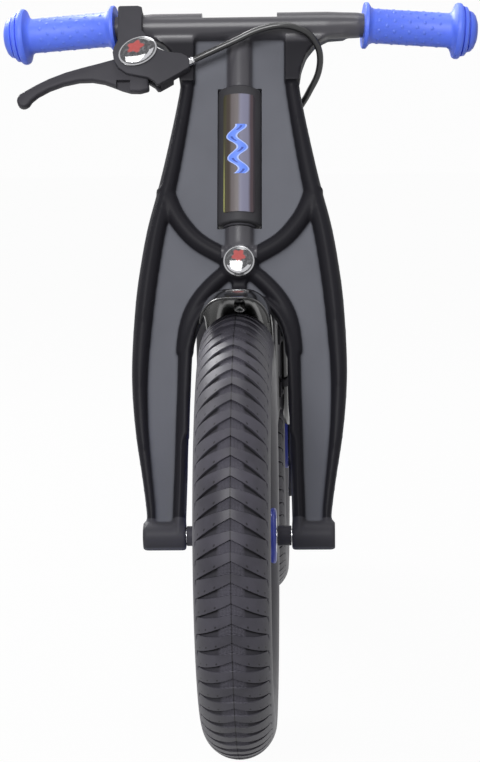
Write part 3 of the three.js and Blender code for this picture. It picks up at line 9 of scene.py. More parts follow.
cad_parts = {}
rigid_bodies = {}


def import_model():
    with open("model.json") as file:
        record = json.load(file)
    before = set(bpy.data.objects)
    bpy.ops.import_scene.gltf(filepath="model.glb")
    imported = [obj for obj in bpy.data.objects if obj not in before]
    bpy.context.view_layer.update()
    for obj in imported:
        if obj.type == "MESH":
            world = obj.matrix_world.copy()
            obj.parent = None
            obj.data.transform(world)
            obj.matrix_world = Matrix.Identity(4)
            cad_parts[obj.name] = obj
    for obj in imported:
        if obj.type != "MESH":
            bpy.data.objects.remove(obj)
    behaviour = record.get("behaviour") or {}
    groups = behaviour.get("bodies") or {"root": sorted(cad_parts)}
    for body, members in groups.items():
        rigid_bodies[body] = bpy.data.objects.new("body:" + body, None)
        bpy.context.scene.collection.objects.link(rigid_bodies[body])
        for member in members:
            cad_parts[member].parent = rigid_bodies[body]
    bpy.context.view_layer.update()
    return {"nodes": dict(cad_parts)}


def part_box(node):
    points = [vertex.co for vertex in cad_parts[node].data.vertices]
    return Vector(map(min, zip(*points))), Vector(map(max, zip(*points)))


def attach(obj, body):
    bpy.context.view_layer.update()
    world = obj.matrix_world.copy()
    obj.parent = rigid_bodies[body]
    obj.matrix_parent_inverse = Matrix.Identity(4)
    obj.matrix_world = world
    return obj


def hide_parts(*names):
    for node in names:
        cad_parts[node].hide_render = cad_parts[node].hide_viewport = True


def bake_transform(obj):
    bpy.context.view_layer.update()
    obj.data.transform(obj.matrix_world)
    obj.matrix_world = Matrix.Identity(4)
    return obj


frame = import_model()

bl_info = {
    "name": "Balance bike",
    "version": (1, 0, 0),
    "blender": (4, 5, 0),
    "location": "3D View > Sidebar > Balance bike",
    "description": "Models a child's balance bike around its engineering model",
    "category": "Object",
}

MM = 0.001

# Places that the pieces share, in millimetres. The steering frame has U across, V up along the
# steering axis from the front axle, and W square to the shield and forwards.
HEAD_LEAN = math.radians(22)
BADGE_HEIGHT = 202.8
HEAD_BOTTOM = 233.1
HEAD_TOP = 339.1
BAR_HEIGHT = 390.0
BAR_FORWARD = 5.5
NOTCH_FLOOR = 393.7
DROPOUT = 38.0
SEAT_LEAN = math.radians(18)


def wheel_centre(end):
    low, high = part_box(f"{end}_tyre")
    return (low + high) / 2


STEERING = Matrix.Translation(wheel_centre("front")) @ Matrix.Rotation(math.pi / 2 - HEAD_LEAN, 4, "X")
FRONT_AXLE = Matrix.Translation(wheel_centre("front"))
REAR_AXLE = Matrix.Translation(wheel_centre("rear"))
CLAMP = STEERING @ Matrix.Translation((-82 * MM, BAR_HEIGHT * MM, 0))
SEAT_BASE = Matrix.Translation((0, 60 * MM, 267 * MM)) @ Matrix.Rotation(-SEAT_LEAN, 4, "X")
ALONG_X = Matrix.Rotation(math.pi / 2, 4, "Y")
ALONG_V = Matrix.Rotation(-math.pi / 2, 4, "X")
OTHER_SIDE = Matrix.Rotation(math.pi, 4, "Z")
SIDE_VIEW = Matrix(((0, 0, 1, 0), (1, 0, 0, 0), (0, 1, 0, 0), (0, 0, 0, 1)))


# ---------------------------------------------------------------- tools of the modelling


def let_go():
    if bpy.context.object and bpy.context.object.mode != "OBJECT":
        bpy.ops.object.mode_set(mode="OBJECT")
    bpy.ops.object.select_all(action="DESELECT")


def take(*pieces):
    let_go()
    for piece in pieces:
        piece.select_set(True)
    bpy.context.view_layer.objects.active = pieces[0]
    return pieces[0]


def named(name):
    piece = bpy.context.object
    piece.name = piece.data.name = name
    return piece


def close_up(piece, distance=0.01):
    """Merges doubled points and turns every face outwards."""
    take(piece)
    bpy.ops.object.mode_set(mode="EDIT")
    bpy.ops.mesh.select_all(action="SELECT")
    bpy.ops.mesh.remove_doubles(threshold=distance * MM)
    bpy.ops.mesh.normals_make_consistent(inside=False)
    bpy.ops.object.mode_set(mode="OBJECT")
    return piece


def settle(piece, place=Matrix()):
    """Puts a piece in its place in the bike and leaves the place in its mesh."""
    take(piece)
    piece.matrix_world = place @ piece.matrix_world
    bpy.ops.object.transform_apply(location=True, rotation=True, scale=True)
    return piece


def worked(piece, kind, **settings):
    """Adds a modifier, sets it and applies it."""
    take(piece)
    bpy.ops.object.modifier_add(type=kind)
    modifier = piece.modifiers[-1]
    for key, value in settings.items():
        setattr(modifier, key, value)
    bpy.ops.object.modifier_apply(modifier=modifier.name)
    return piece


def eased(piece, width, segments=2, angle=32):
    """Rounds the sharp edges."""
    return worked(
        piece, "BEVEL", width=width * MM, segments=segments, limit_method="ANGLE",
        angle_limit=math.radians(angle), use_clamp_overlap=True,
    )


def soft_shaded(piece, angle=38):
    take(piece)
    bpy.ops.object.shade_smooth_by_angle(angle=math.radians(angle))
    return piece


def joined(name, *pieces):
    take(*pieces)
    if len(pieces) > 1:
        bpy.ops.object.join()
    return named(name)


def fused(name, piece, *others):
    """Unites solids that overlap into one skin, which a later cut needs."""
    for other in others:
        worked(piece, "BOOLEAN", operation="UNION", solver="EXACT", object=other)
        bpy.data.objects.remove(other)
    take(piece)
    return named(name)


def carved(piece, *cutters):
    for cutter in cutters:
        worked(piece, "BOOLEAN", operation="DIFFERENCE", solver="EXACT", object=cutter)
        bpy.data.objects.remove(cutter)
    return piece


def moulded(piece, voxel, rounds=4, factor=0.5):
    """Melts joined shapes into one skin with soft fillets, as a moulding has."""
    worked(piece, "REMESH", mode="VOXEL", voxel_size=voxel * MM, use_smooth_shade=True)
    return worked(piece, "SMOOTH", factor=factor, iterations=rounds)


def turned(name, profile, sides=48, place=Matrix(), ring=False):
    """Turned piece about Z from (along, radius) pairs; a ring's profile closes on itself."""
    let_go()
    along, radius = profile[0]
    bpy.ops.mesh.primitive_circle_add(
        vertices=sides, radius=max(radius, 0.02) * MM, location=(0, 0, along * MM),
        fill_type="NOTHING" if ring else "NGON", enter_editmode=True,
    )
    bpy.ops.mesh.select_all(action="SELECT")
    for (start, before), (end, after) in zip(profile, profile[1:] + (profile[:1] if ring else [])):
        bpy.ops.mesh.extrude_region_move(TRANSFORM_OT_translate={"value": (0, 0, (end - start) * MM)})
        ratio = max(after, 0.02) / max(before, 0.02)
        if abs(ratio - 1) > 1e-6:
            bpy.ops.transform.resize(value=(ratio, ratio, 1), center_override=(0, 0, end * MM))
    bpy.ops.object.mode_set(mode="OBJECT")
    piece = close_up(named(name), 0.005)
    return settle(piece, place)


def cut_sheet(name, outline, low, high, place=Matrix()):
    """Flat piece with the given outline, as thick as from low to high along Z."""
    let_go()
    bpy.ops.mesh.primitive_circle_add(vertices=len(outline), radius=1, fill_type="NGON")
    piece = named(name)
    for vertex, (across, up) in zip(piece.data.vertices, outline):
        vertex.co = (across * MM, up * MM, low * MM)
    bpy.ops.object.mode_set(mode="EDIT")
    bpy.ops.mesh.select_all(action="SELECT")
    bpy.ops.mesh.extrude_region_move(TRANSFORM_OT_translate={"value": (0, 0, (high - low) * MM)})
    bpy.ops.object.mode_set(mode="OBJECT")
    close_up(piece)
    return settle(piece, place)


def flowing(points, steps=6, loop=False):
    """A smooth line through the points, with so many steps between each two."""
    count = len(points)
    line = []
    for i in range(count if loop else count - 1):
        near = [points[(i + k) % count if loop else min(max(i + k, 0), count - 1)] for k in (-1, 0, 1, 2)]
        for step in range(steps):
            t = step / steps
            line.append(tuple(
                0.5 * (2 * b + (c - a) * t + (2 * a - 5 * b + 4 * c - d) * t * t
                       + (3 * b - a - 3 * c + d) * t ** 3)
                for a, b, c, d in zip(*near)
            ))
    return line if loop else line + [tuple(points[-1])]


def piped(name, line, radius, thickness=1.0, sides=4, place=Matrix()):
    """Round bar along a line of points; radius is one value or one for each point."""
    let_go()
    bpy.ops.curve.primitive_nurbs_path_add()
    curve = bpy.context.object.data
    curve.splines.clear()
    spline = curve.splines.new("POLY")
    spline.points.add(len(line) - 1)
    for i, (point, across) in enumerate(zip(spline.points, line)):
        point.co = (*(value * MM for value in across), 1)
        point.radius = radius[i] if isinstance(radius, list) else radius
    curve.dimensions = "3D"
    curve.twist_mode = "MINIMUM"
    curve.bevel_depth = MM
    curve.bevel_resolution = sides
    curve.use_fill_caps = True
    bpy.ops.object.convert(target="MESH")
    piece = named(name)
    middle = sum(point[2] for point in line) / len(line) * MM
    if thickness != 1.0:
        piece.data.transform(
            Matrix.Translation((0, 0, middle)) @ Matrix.Scale(thickness, 4,
                (0, 0, 1)) @ Matrix.Translation((0, 0, -middle))
        )
    close_up(piece)
    return settle(piece, place)


def block(name, low, high, place=Matrix()):
    let_go()
    size = [(b - a) * MM for a, b in zip(low, high)]
    middle = [(a + b) / 2 * MM for a, b in zip(low, high)]
    bpy.ops.mesh.primitive_cube_add(size=1, location=middle, scale=size)
    return settle(named(name), place)


def mirror_copy(piece):
    take(piece)
    bpy.ops.object.duplicate()
    twin = bpy.context.object
    twin.scale.x = -1
    settle(twin)
    return close_up(twin)


def finished(piece, body, nodes, material, angle=38):
    """Gives a piece its finish and body, and lets it stand for its engineering nodes."""
    soft_shaded(piece, angle)
    piece.data.materials.clear()
    piece.data.materials.append(material)
    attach(piece, body)
    if nodes:
        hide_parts(*nodes)
    return piece


# ---------------------------------------------------------------- tools of the finishes


class Field:
    """A value that varies over a surface, so that shader sums read as plain arithmetic."""

    def __init__(self, finish, socket):
        self.finish = finish
        self.socket = socket

    def sum(self, operation, *others):
        return self.finish.node("ShaderNodeMath", {"operation": operation}, [self, *others])

    def __add__(self, other): return self.sum("ADD", other)
    def __radd__(self, other): return self.sum("ADD", other)
    def __sub__(self, other): return self.sum("SUBTRACT", other)
    def __rsub__(self, other): return self.finish.node("ShaderNodeMath", {"operation": "SUBTRACT"},
        [other, self])
    def __mul__(self, other): return self.sum("MULTIPLY", other)
    def __rmul__(self, other): return self.sum("MULTIPLY", other)
    def __truediv__(self, other): return self.sum("DIVIDE", other)
    def __lt__(self, other): return self.sum("LESS_THAN", other)
    def __gt__(self, other): return self.sum("GREATER_THAN", other)
    def __abs__(self): return self.sum("ABSOLUTE")
    def ramp(self, start, end): return self.finish.node(
        "ShaderNodeMapRange", {"interpolation_type": "SMOOTHSTEP"}, [self, start, end, 0.0, 1.0])
    def wave(self): return self.sum("SINE")


class Finish:
    """A procedural material, made node by node."""

    def __init__(self, name, color, roughness, metallic=0.0, **constants):
        self.material = bpy.data.materials.new(name)
        self.material.use_nodes = True
        self.tree = self.material.node_tree
        self.shader = self.tree.nodes["Principled BSDF"]
        self.set("Base Color", (*color, 1))
        self.set("Roughness", roughness)
        self.set("Metallic", metallic)
        for key, value in constants.items():
            self.set(key.replace("_", " "), value)

    def set(self, socket, value):
        target = self.shader.inputs[socket]
        if isinstance(value, Field):
            self.tree.links.new(value.socket, target)
        else:
            target.default_value = value
        return self

    def node(self, kind, settings=(), values=(), output=0):
        node = self.tree.nodes.new(kind)
        for key, value in dict(settings).items():
            setattr(node, key, value)
        pairs = values.items() if isinstance(values, dict) else enumerate(values)
        for key, value in pairs:
            if isinstance(value, Field):
                self.tree.links.new(value.socket, node.inputs[key])
            elif value is not None:
                node.inputs[key].default_value = value
        return Field(self, node.outputs[output])

    def place(self, matrix=None):
        """Object coordinates in metres, or the coordinates of a leaning or shifted part of the bike."""
        spot = self.node("ShaderNodeTexCoord", output="Object")
        if matrix is None:
            return spot
        turn = matrix.to_3x3().inverted()
        rows = [self.node("ShaderNodeVectorMath", {"operation": "DOT_PRODUCT"},
                          [self.node("ShaderNodeVectorMath", {"operation": "SUBTRACT"},
                              [spot, matrix.translation]), row],
                          output="Value") for row in turn]
        return self.node("ShaderNodeCombineXYZ", values=rows)

    def axes(self, spot):
        split = self.tree.nodes.new("ShaderNodeSeparateXYZ")
        self.tree.links.new(spot.socket, split.inputs[0])
        return [Field(self, output) for output in split.outputs]

    def noise(self, spot, scale, detail=2.0, roughness=0.5):
        return self.node("ShaderNodeTexNoise", values={
            "Vector": spot, "Scale": scale, "Detail": detail, "Roughness": roughness})

    def mix(self, share, first, second):
        color = [(*c, 1) if isinstance(c, tuple) and len(c) == 3 else c for c in (first, second)]
        return self.node("ShaderNodeMix", {"data_type": "RGBA"}, {0: share, 6: color[0], 7: color[1]},
            output=2)

    def bump(self, height, strength, distance):
        return self.set("Normal", self.node("ShaderNodeBump", values={
            "Height": height, "Strength": strength, "Distance": distance * MM}))


def textured(name, color, roughness, grain=900.0, depth=0.05, strength=0.35, mottle=0.12, **constants):
    """Plain moulded or painted surface: a fine grain, faint mottling and uneven gloss."""
    finish = Finish(name, color, roughness, **constants)
    spot = finish.place()
    fine = finish.noise(spot, grain, 2.0)
    broad = finish.noise(spot, 22.0, 3.0)
    darker = tuple(value * (1 - mottle) for value in color)
    lighter = tuple(min(1.0, value * (1 + mottle)) for value in color)
    finish.set("Base Color", finish.mix(broad.ramp(0.3, 0.7), darker, lighter))
    finish.set("Roughness", broad * 0.14 + (roughness - 0.07))
    finish.bump(fine, strength, depth)
    return finish


# ---------------------------------------------------------------- sizes and colours a user would change


class BikeSizes(bpy.types.PropertyGroup):
    tread_blocks: bpy.props.IntProperty(name="Tread blocks", description="Chevrons around a tyre",
        default=71, min=20)
    tread_depth: bpy.props.FloatProperty(name="Tread depth", description="Depth of the chevrons",
        default=1.9 * MM,
                                         subtype="DISTANCE")
    tread_slope: bpy.props.FloatProperty(name="Tread slope",
        description="Fall of a chevron, as a share of a block",
                                         default=1.15, subtype="FACTOR")
    grip_dot: bpy.props.FloatProperty(name="Grip dot", description="Height of the dots on the grips",
                                      default=0.35 * MM, subtype="DISTANCE")
    voxel: bpy.props.FloatProperty(name="Moulding grid",
        description="Grid of the moulded skins, in millimetres",
                                   default=1.5, min=1.0)


def color_property(name, color):
    return bpy.props.FloatVectorProperty(name=name, description=f"{name} colour", subtype="COLOR", size=3,
                                         default=color, min=0, max=1)


class BikeColours(bpy.types.PropertyGroup):
    shield: color_property("Shield", (0.135, 0.139, 0.160))
    # The rib tone is darker than the rest of the black moulding: painted shade on the ribs.
    rib: color_property("Rib", (0.014, 0.0135, 0.017))
    tube: color_property("Frame", (0.052, 0.051, 0.056))
    grip: color_property("Grip", (0.105, 0.190, 0.900))
    wheel: color_property("Wheel", (0.060, 0.085, 0.430))
    rubber: color_property("Rubber", (0.038, 0.036, 0.046))
    emblem: color_property("Emblem", (0.480, 0.045, 0.040))
    motif: color_property("Motif", (0.140, 0.260, 0.860))


def sizes():
    return bpy.context.scene.bike_sizes


def colours():
    return bpy.context.scene.bike_colours


# ---------------------------------------------------------------- finishes


def shield_finish():
    """Grained grey between the ribs, darkening towards the bottom as painted shade, and satin on the ribs,
    whose darker tone is painted shade.
    """
    paint = colours()
    finish = Finish("shield_moulding", tuple(paint.shield), 0.55, Specular_IOR_Level=0.08, Coat_Roughness=0.3)
    spot = finish.place(STEERING)
    across, up, forward = finish.axes(spot)
    raised = forward.ramp(0.0031, 0.0052)
    fine = finish.noise(spot, 1500.0, 2.0)
    broad = finish.noise(spot, 16.0, 3.0)
    # Painted shade: the plate darkens towards the bottom.
    low = (0.19 - up).ramp(0.0, 0.19)
    plate = finish.mix(low * 0.55, tuple(paint.shield), tuple(value * 0.62 for value in paint.shield))
    plate = finish.mix(broad.ramp(0.35, 0.75) * 0.16, plate, (0.05, 0.05, 0.056))
    neck = (0.0135 - abs(across)).ramp(0.0, 0.001) * (up > 0.206)
    smooth = neck.sum("MAXIMUM", up.ramp(0.374, 0.38))
    boss = (0.0125 - up).ramp(0.0, 0.001)
    # The ribs are darker than the boss and the smooth neck and bar of the same moulding: painted shade on the
    # ribs.
    raised_color = finish.mix(boss, tuple(paint.rib), (0.048, 0.047, 0.054))
    raised_color = finish.mix(smooth, raised_color, (0.062, 0.060, 0.069))
    finish.set("Coat Weight", smooth * raised * 0.6)
    finish.set("Base Color", finish.mix(raised, plate, raised_color))
    finish.set("Roughness", 0.62 - raised * 0.2 + broad * 0.06)
    finish.bump(fine * (1 - raised * 0.75), 0.5, 0.06)
    return finish.material


def rubber_finish():
    """Tyre rubber: matt with a faint bloom, a crossed lattice on the floor of the chevrons, and painted shade
    darkening the rest of the chevron floors.
    """
    color = tuple(colours().rubber)
    finish = Finish("tyre_rubber", color, 0.5, Specular_IOR_Level=0.3)
    spot = finish.place()
    fine = finish.noise(spot, 1400.0, 3.0)
    broad = finish.noise(spot, 45.0, 4.0)
    across, along, _ = finish.axes(finish.node("ShaderNodeUVMap", {"uv_map": "tread"}))
    lattice = (across * 96 + along * 48).wave() * (across * 96 - along * 48).wave()
    patch = finish.node("ShaderNodeAttribute", {"attribute_name": "lattice"}, output="Fac")
    groove = finish.node("ShaderNodeAttribute", {"attribute_name": "groove"}, output="Fac")
    seam = abs(across) < 0.012
    step = along - abs(across) * sizes().tread_slope
    dots = None
    for reach, height in ((0.36, 0.88), (0.62, 0.84), (0.84, 0.8)):
        far = (abs(across) - reach) * (abs(across) - reach) * 5.5 + (step - height) * (step - height)
        dots = far < 0.0035 if dots is None else dots.sum("MAXIMUM", far < 0.0035)
    worn = finish.mix(broad.ramp(0.35, 0.7), color, tuple(value * 1.5 for value in color))
    worn = finish.mix(patch * lattice.ramp(-0.1, 0.3) * 0.6, worn, tuple(value * 2.6 for value in color))
    # Painted shade darkens the sunken chevron floors outside the lattice patch; the seam and dots are dark
    # marks of their own.
    shade_and_marks = (groove * (1 - patch) * 0.9).sum("MAXIMUM", (seam + dots) * 0.75)
    finish.set("Base Color", finish.mix(shade_and_marks, worn, tuple(value * 0.05 for value in color)))
    finish.set("Roughness", broad * 0.2 + groove * 0.5 + 0.36)
    finish.bump(fine * 0.25 + lattice * patch * 1.6 - (seam + dots) * 1.5, 0.6, 0.25)
    return finish.material


def grip_finish():
    color = tuple(colours().grip)
    finish = textured("grip_rubber", color, 0.5, grain=1100.0, depth=0.04, mottle=0.05,
                      Subsurface_Weight=0.12, Subsurface_Scale=0.004)
    finish.shader.inputs["Subsurface Radius"].default_value = (0.3, 0.4, 1.0)
    return finish.material


def badge_finish():
    """Clear-domed disc: a thin silver rim, a smoky face, and a red flower over a pale crescent."""
    emblem = tuple(colours().emblem)
    finish = Finish("badge_dome", (0.02, 0.02, 0.022), 0.06, Coat_Weight=1.0, Coat_Roughness=0.03)
    face = finish.node("ShaderNodeUVMap", {"uv_map": "face"})
    across, up, _ = finish.axes(face)
    reach = (across * across + up * up).sum("SQRT")
    rim = (reach > 0.9) * (reach < 0.975)
    ripple = finish.noise(face, 5.0, 3.0)
    left, high = across + 0.02, up - 0.3
    petal = (left * left + high * high).sum("SQRT") + (high.sum("ARCTAN2", left) * 5).wave() * 0.07
    flower = (0.44 - petal).ramp(0.0, 0.12)
    low = up + 0.62
    crescent = (reach < 0.82) * (reach > 0.62) * (low < 0.22 + ripple * 0.2)
    color = finish.mix(ripple.ramp(0.42, 0.7) * (0.7 - reach * 0.5), (0.022, 0.022, 0.026),
        (0.22, 0.22, 0.24))
    color = finish.mix(flower * 0.85, color, emblem)
    color = finish.mix(crescent * (1 - flower) * 0.8, color, (0.62, 0.62, 0.65))
    color = finish.mix(rim, color, (0.42, 0.42, 0.44))
    finish.set("Base Color", color)
    finish.set("Roughness", finish.noise(finish.place(), 60.0) * 0.05 + rim * 0.12 + 0.04)
    finish.set("Metallic", rim * 0.85)
    return finish.material


def foil_finish():
    """Foil: bands of olive, brown and violet grey across the tube, painted as the foil's reflection, and a
    printed light wavy ribbon.
    """
    finish = Finish("printed_foil", (0.06, 0.05, 0.045), 0.3, Coat_Weight=0.15, Coat_Roughness=0.2,
                    Specular_IOR_Level=0.25)
    face = finish.node("ShaderNodeUVMap", {"uv_map": "face"})
    across, up, _ = finish.axes(face)
    drift = finish.noise(finish.place(), 30.0, 3.0) * 0.12 - 0.06
    # Painted reflection: the bands across the tube stand for the foil's reflection, dark olive and brown on
    # the left, violet grey in the middle and dark on the right.
    reflection_band = across + drift
    color = finish.mix(reflection_band.ramp(-0.84, -0.7), (0.050, 0.045, 0.022), (0.048, 0.036, 0.028))
    color = finish.mix(reflection_band.ramp(-0.6, -0.4), color, (0.125, 0.108, 0.110))
    color = finish.mix(reflection_band.ramp(-0.1, 0.12), color, (0.200, 0.198, 0.275))
    color = finish.mix(reflection_band.ramp(0.5, 0.72), color, (0.070, 0.048, 0.056))
    color = finish.mix(reflection_band.ramp(0.8, 0.9), color, (0.022, 0.016, 0.022))
    line = (abs(across + 0.93) < 0.035) * (up < 0.35)
    color = finish.mix(line * (0.25 - up).ramp(-0.1, 1.1), color, (0.42, 0.42, 0.14))
    sway = (up * 17.0).wave() * 0.30 - up * 0.2
    off = abs(across - sway + 0.08)
    span = abs(up - 0.06) < 0.42
    ribbon = (off < 0.34) * span
    color = finish.mix(ribbon, color, tuple(colours().motif))
    color = finish.mix(ribbon * (off > 0.24), color, (0.36, 0.47, 0.92))
    color = finish.mix(ribbon * (off < 0.07) * ((up * 34.0).wave() > 0.2), color, (0.05, 0.09, 0.40))
    finish.set("Base Color", color)
    finish.set("Roughness", finish.noise(finish.place(), 90.0) * 0.12 + ribbon * 0.12 + 0.26)
    finish.bump(ribbon, 0.25, 0.08)
    return finish.material


def vinyl_finish():
    """Black leathercloth with a pebbled grain."""
    finish = Finish("saddle_vinyl", (0.022, 0.022, 0.024), 0.48)
    spot = finish.place()
    cells = finish.node("ShaderNodeTexVoronoi", {"feature": "DISTANCE_TO_EDGE"},
        {"Vector": spot, "Scale": 620.0})
    worn = finish.noise(spot, 18.0, 3.0)
    finish.set("Base Color", finish.mix(worn.ramp(0.35, 0.7), (0.020, 0.020, 0.022), (0.032, 0.032, 0.035)))
    finish.set("Roughness", worn * 0.16 + 0.4)
    finish.bump(cells.ramp(0.0, 0.12), 0.5, 0.12)
    return finish.material


DULL = {"Specular_IOR_Level": 0.08}

# Finishes with a pattern of their own.
PATTERNED = {
    "shield": shield_finish,
    "rubber": rubber_finish,
    "grip": grip_finish,
    "badge": badge_finish,
    "foil": foil_finish,
    "vinyl": vinyl_finish,
}

# Plain finishes: label, colour (or the name of the setting that holds it), roughness, and the rest.
PLAIN = {
    "satin": ("satin_moulding", (0.048, 0.0465, 0.054), 0.42, dict(depth=0.04, **DULL)),
    "grained": ("grained_moulding", (0.056, 0.055, 0.063), 0.5, dict(grain=1400.0, depth=0.06, **DULL)),
    "frame": ("frame_moulding", "tube", 0.46, dict(depth=0.06, **DULL)),
    "wheel": ("wheel_moulding", "wheel", 0.4, dict(depth=0.04)),
    "gloss": ("gloss_moulding", (0.010, 0.010, 0.011), 0.12, dict(depth=0.01, strength=0.1)),
    "steel": ("bright_steel", (0.62, 0.62, 0.64), 0.28, dict(grain=600.0, depth=0.02, metallic=1.0)),
    "black_steel": ("black_steel", (0.045, 0.045, 0.05), 0.38, dict(grain=700.0, depth=0.03)),
    "lining": ("friction_lining", (0.13, 0.10, 0.075), 0.85, dict(grain=500.0, depth=0.15)),
    "cable": ("cable_casing", (0.012, 0.012, 0.013), 0.3, dict(depth=0.02, Coat_Weight=0.2)),
    "tube": ("inner_tube_rubber", (0.016, 0.016, 0.016), 0.6, dict(depth=0.04)),
}


def finish(name):
    """The named finish, made once."""
    made = bpy.data.materials.get(f"bike_{name}")
    if made is None:
        if name in PATTERNED:
            made = PATTERNED[name]()
        else:
            label, color, roughness, rest = PLAIN[name]
            if isinstance(color, str):
                color = tuple(getattr(colours(), color))
            made = textured(label, color, roughness, **rest).material
        made.name = f"bike_{name}"
    return made


# ---------------------------------------------------------------- operators


class BikeOperator:
    bl_options = {"REGISTER", "UNDO"}

    def execute(self, context):
        self.make(context)
        let_go()
        return {"FINISHED"}


class BIKE_OT_stage(BikeOperator, bpy.types.Operator):
    """Pale studio with soft light, and the camera in front of the bike"""

    bl_idname = "bike.stage"
    bl_label = "Stage"

    def make(self, context):
        scene = context.scene
        scene.view_settings.view_transform = "Standard"
        self.floor()
        self.sky(scene)
        self.lamp("key_light", (-0.4, -2.6, 1.5), 1.2, 62)
        self.lamp("back_light", (-1.1, 1.1, 1.9), 1.1, 70)
        self.lamp("top_light", (0.2, -0.4, 2.5), 0.9, 14)
        let_go()
        bpy.ops.object.camera_add(location=(0.064, -1.971, 0.487))
        camera = bpy.context.object
        camera.name = "camera"
        camera.rotation_euler = (math.radians(90 - 8.9), math.radians(0.75), math.radians(2.13))
        camera.data.lens = 113
        camera.data.sensor_width = 36
        camera.data.shift_y = 0.0915
        camera.data.shift_x = 0.0068
        camera.data.clip_end = 50
        scene.camera = camera

    def floor(self):
        let_go()
        bpy.ops.mesh.primitive_plane_add(size=14, location=(0, 3, 0))
        floor = named("studio_floor")
        worked(floor, "SUBSURF", levels=2, render_levels=2, subdivision_type="SIMPLE")
        white = Finish("studio_white", (0.35, 0.35, 0.35), 0.9)
        grain = white.noise(white.place(), 3.0)
        white.set("Roughness", grain * 0.1 + 0.85)
        nodes, links = white.tree.nodes, white.tree.links
        view = nodes.new("ShaderNodeLightPath")
        glow = white.node("ShaderNodeEmission", values={"Color": (1, 1, 1, 1), "Strength": 1.0})
        mixed = nodes.new("ShaderNodeMixShader")
        seen = [Field(white, view.outputs[f"Is {kind} Ray"]) for kind in ("Camera", "Glossy", "Transmission")]
        share = seen[0].sum("MAXIMUM", seen[1]).sum("MAXIMUM", seen[2]) * 0.97
        links.new(share.socket, mixed.inputs[0])
        links.new(white.shader.outputs[0], mixed.inputs[1])
        links.new(glow.socket, mixed.inputs[2])
        links.new(mixed.outputs[0], nodes["Material Output"].inputs[0])
        floor.data.materials.append(white.material)

    def sky(self, scene):
        world = bpy.data.worlds.new("studio")
        scene.world = world
        world.use_nodes = True
        nodes, links = world.node_tree.nodes, world.node_tree.links
        back = nodes["Background"]
        back.inputs["Color"].default_value = (1, 1, 1, 1)
        view = nodes.new("ShaderNodeLightPath")
        level = nodes.new("ShaderNodeMapRange")
        share = view.outputs["Is Camera Ray"]
        for kind in ("Glossy", "Transmission"):
            wider = nodes.new("ShaderNodeMath")
            wider.operation = "MAXIMUM"
            links.new(share, wider.inputs[0])
            links.new(view.outputs[f"Is {kind} Ray"], wider.inputs[1])
            share = wider.outputs[0]
        links.new(share, level.inputs["Value"])
        level.inputs["To Min"].default_value = 0.06
        level.inputs["To Max"].default_value = 0.98
        links.new(level.outputs[0], back.inputs["Strength"])

    def lamp(self, name, place, size, power):
        let_go()
        bpy.ops.object.light_add(type="AREA", location=place)
        lamp = bpy.context.object
        lamp.name = name
        lamp.data.size = size
        lamp.data.energy = power
        lamp.rotation_euler = (Vector((0, -0.2, 0.3)) - Vector(place)).to_track_quat("-Z", "Y").to_euler()


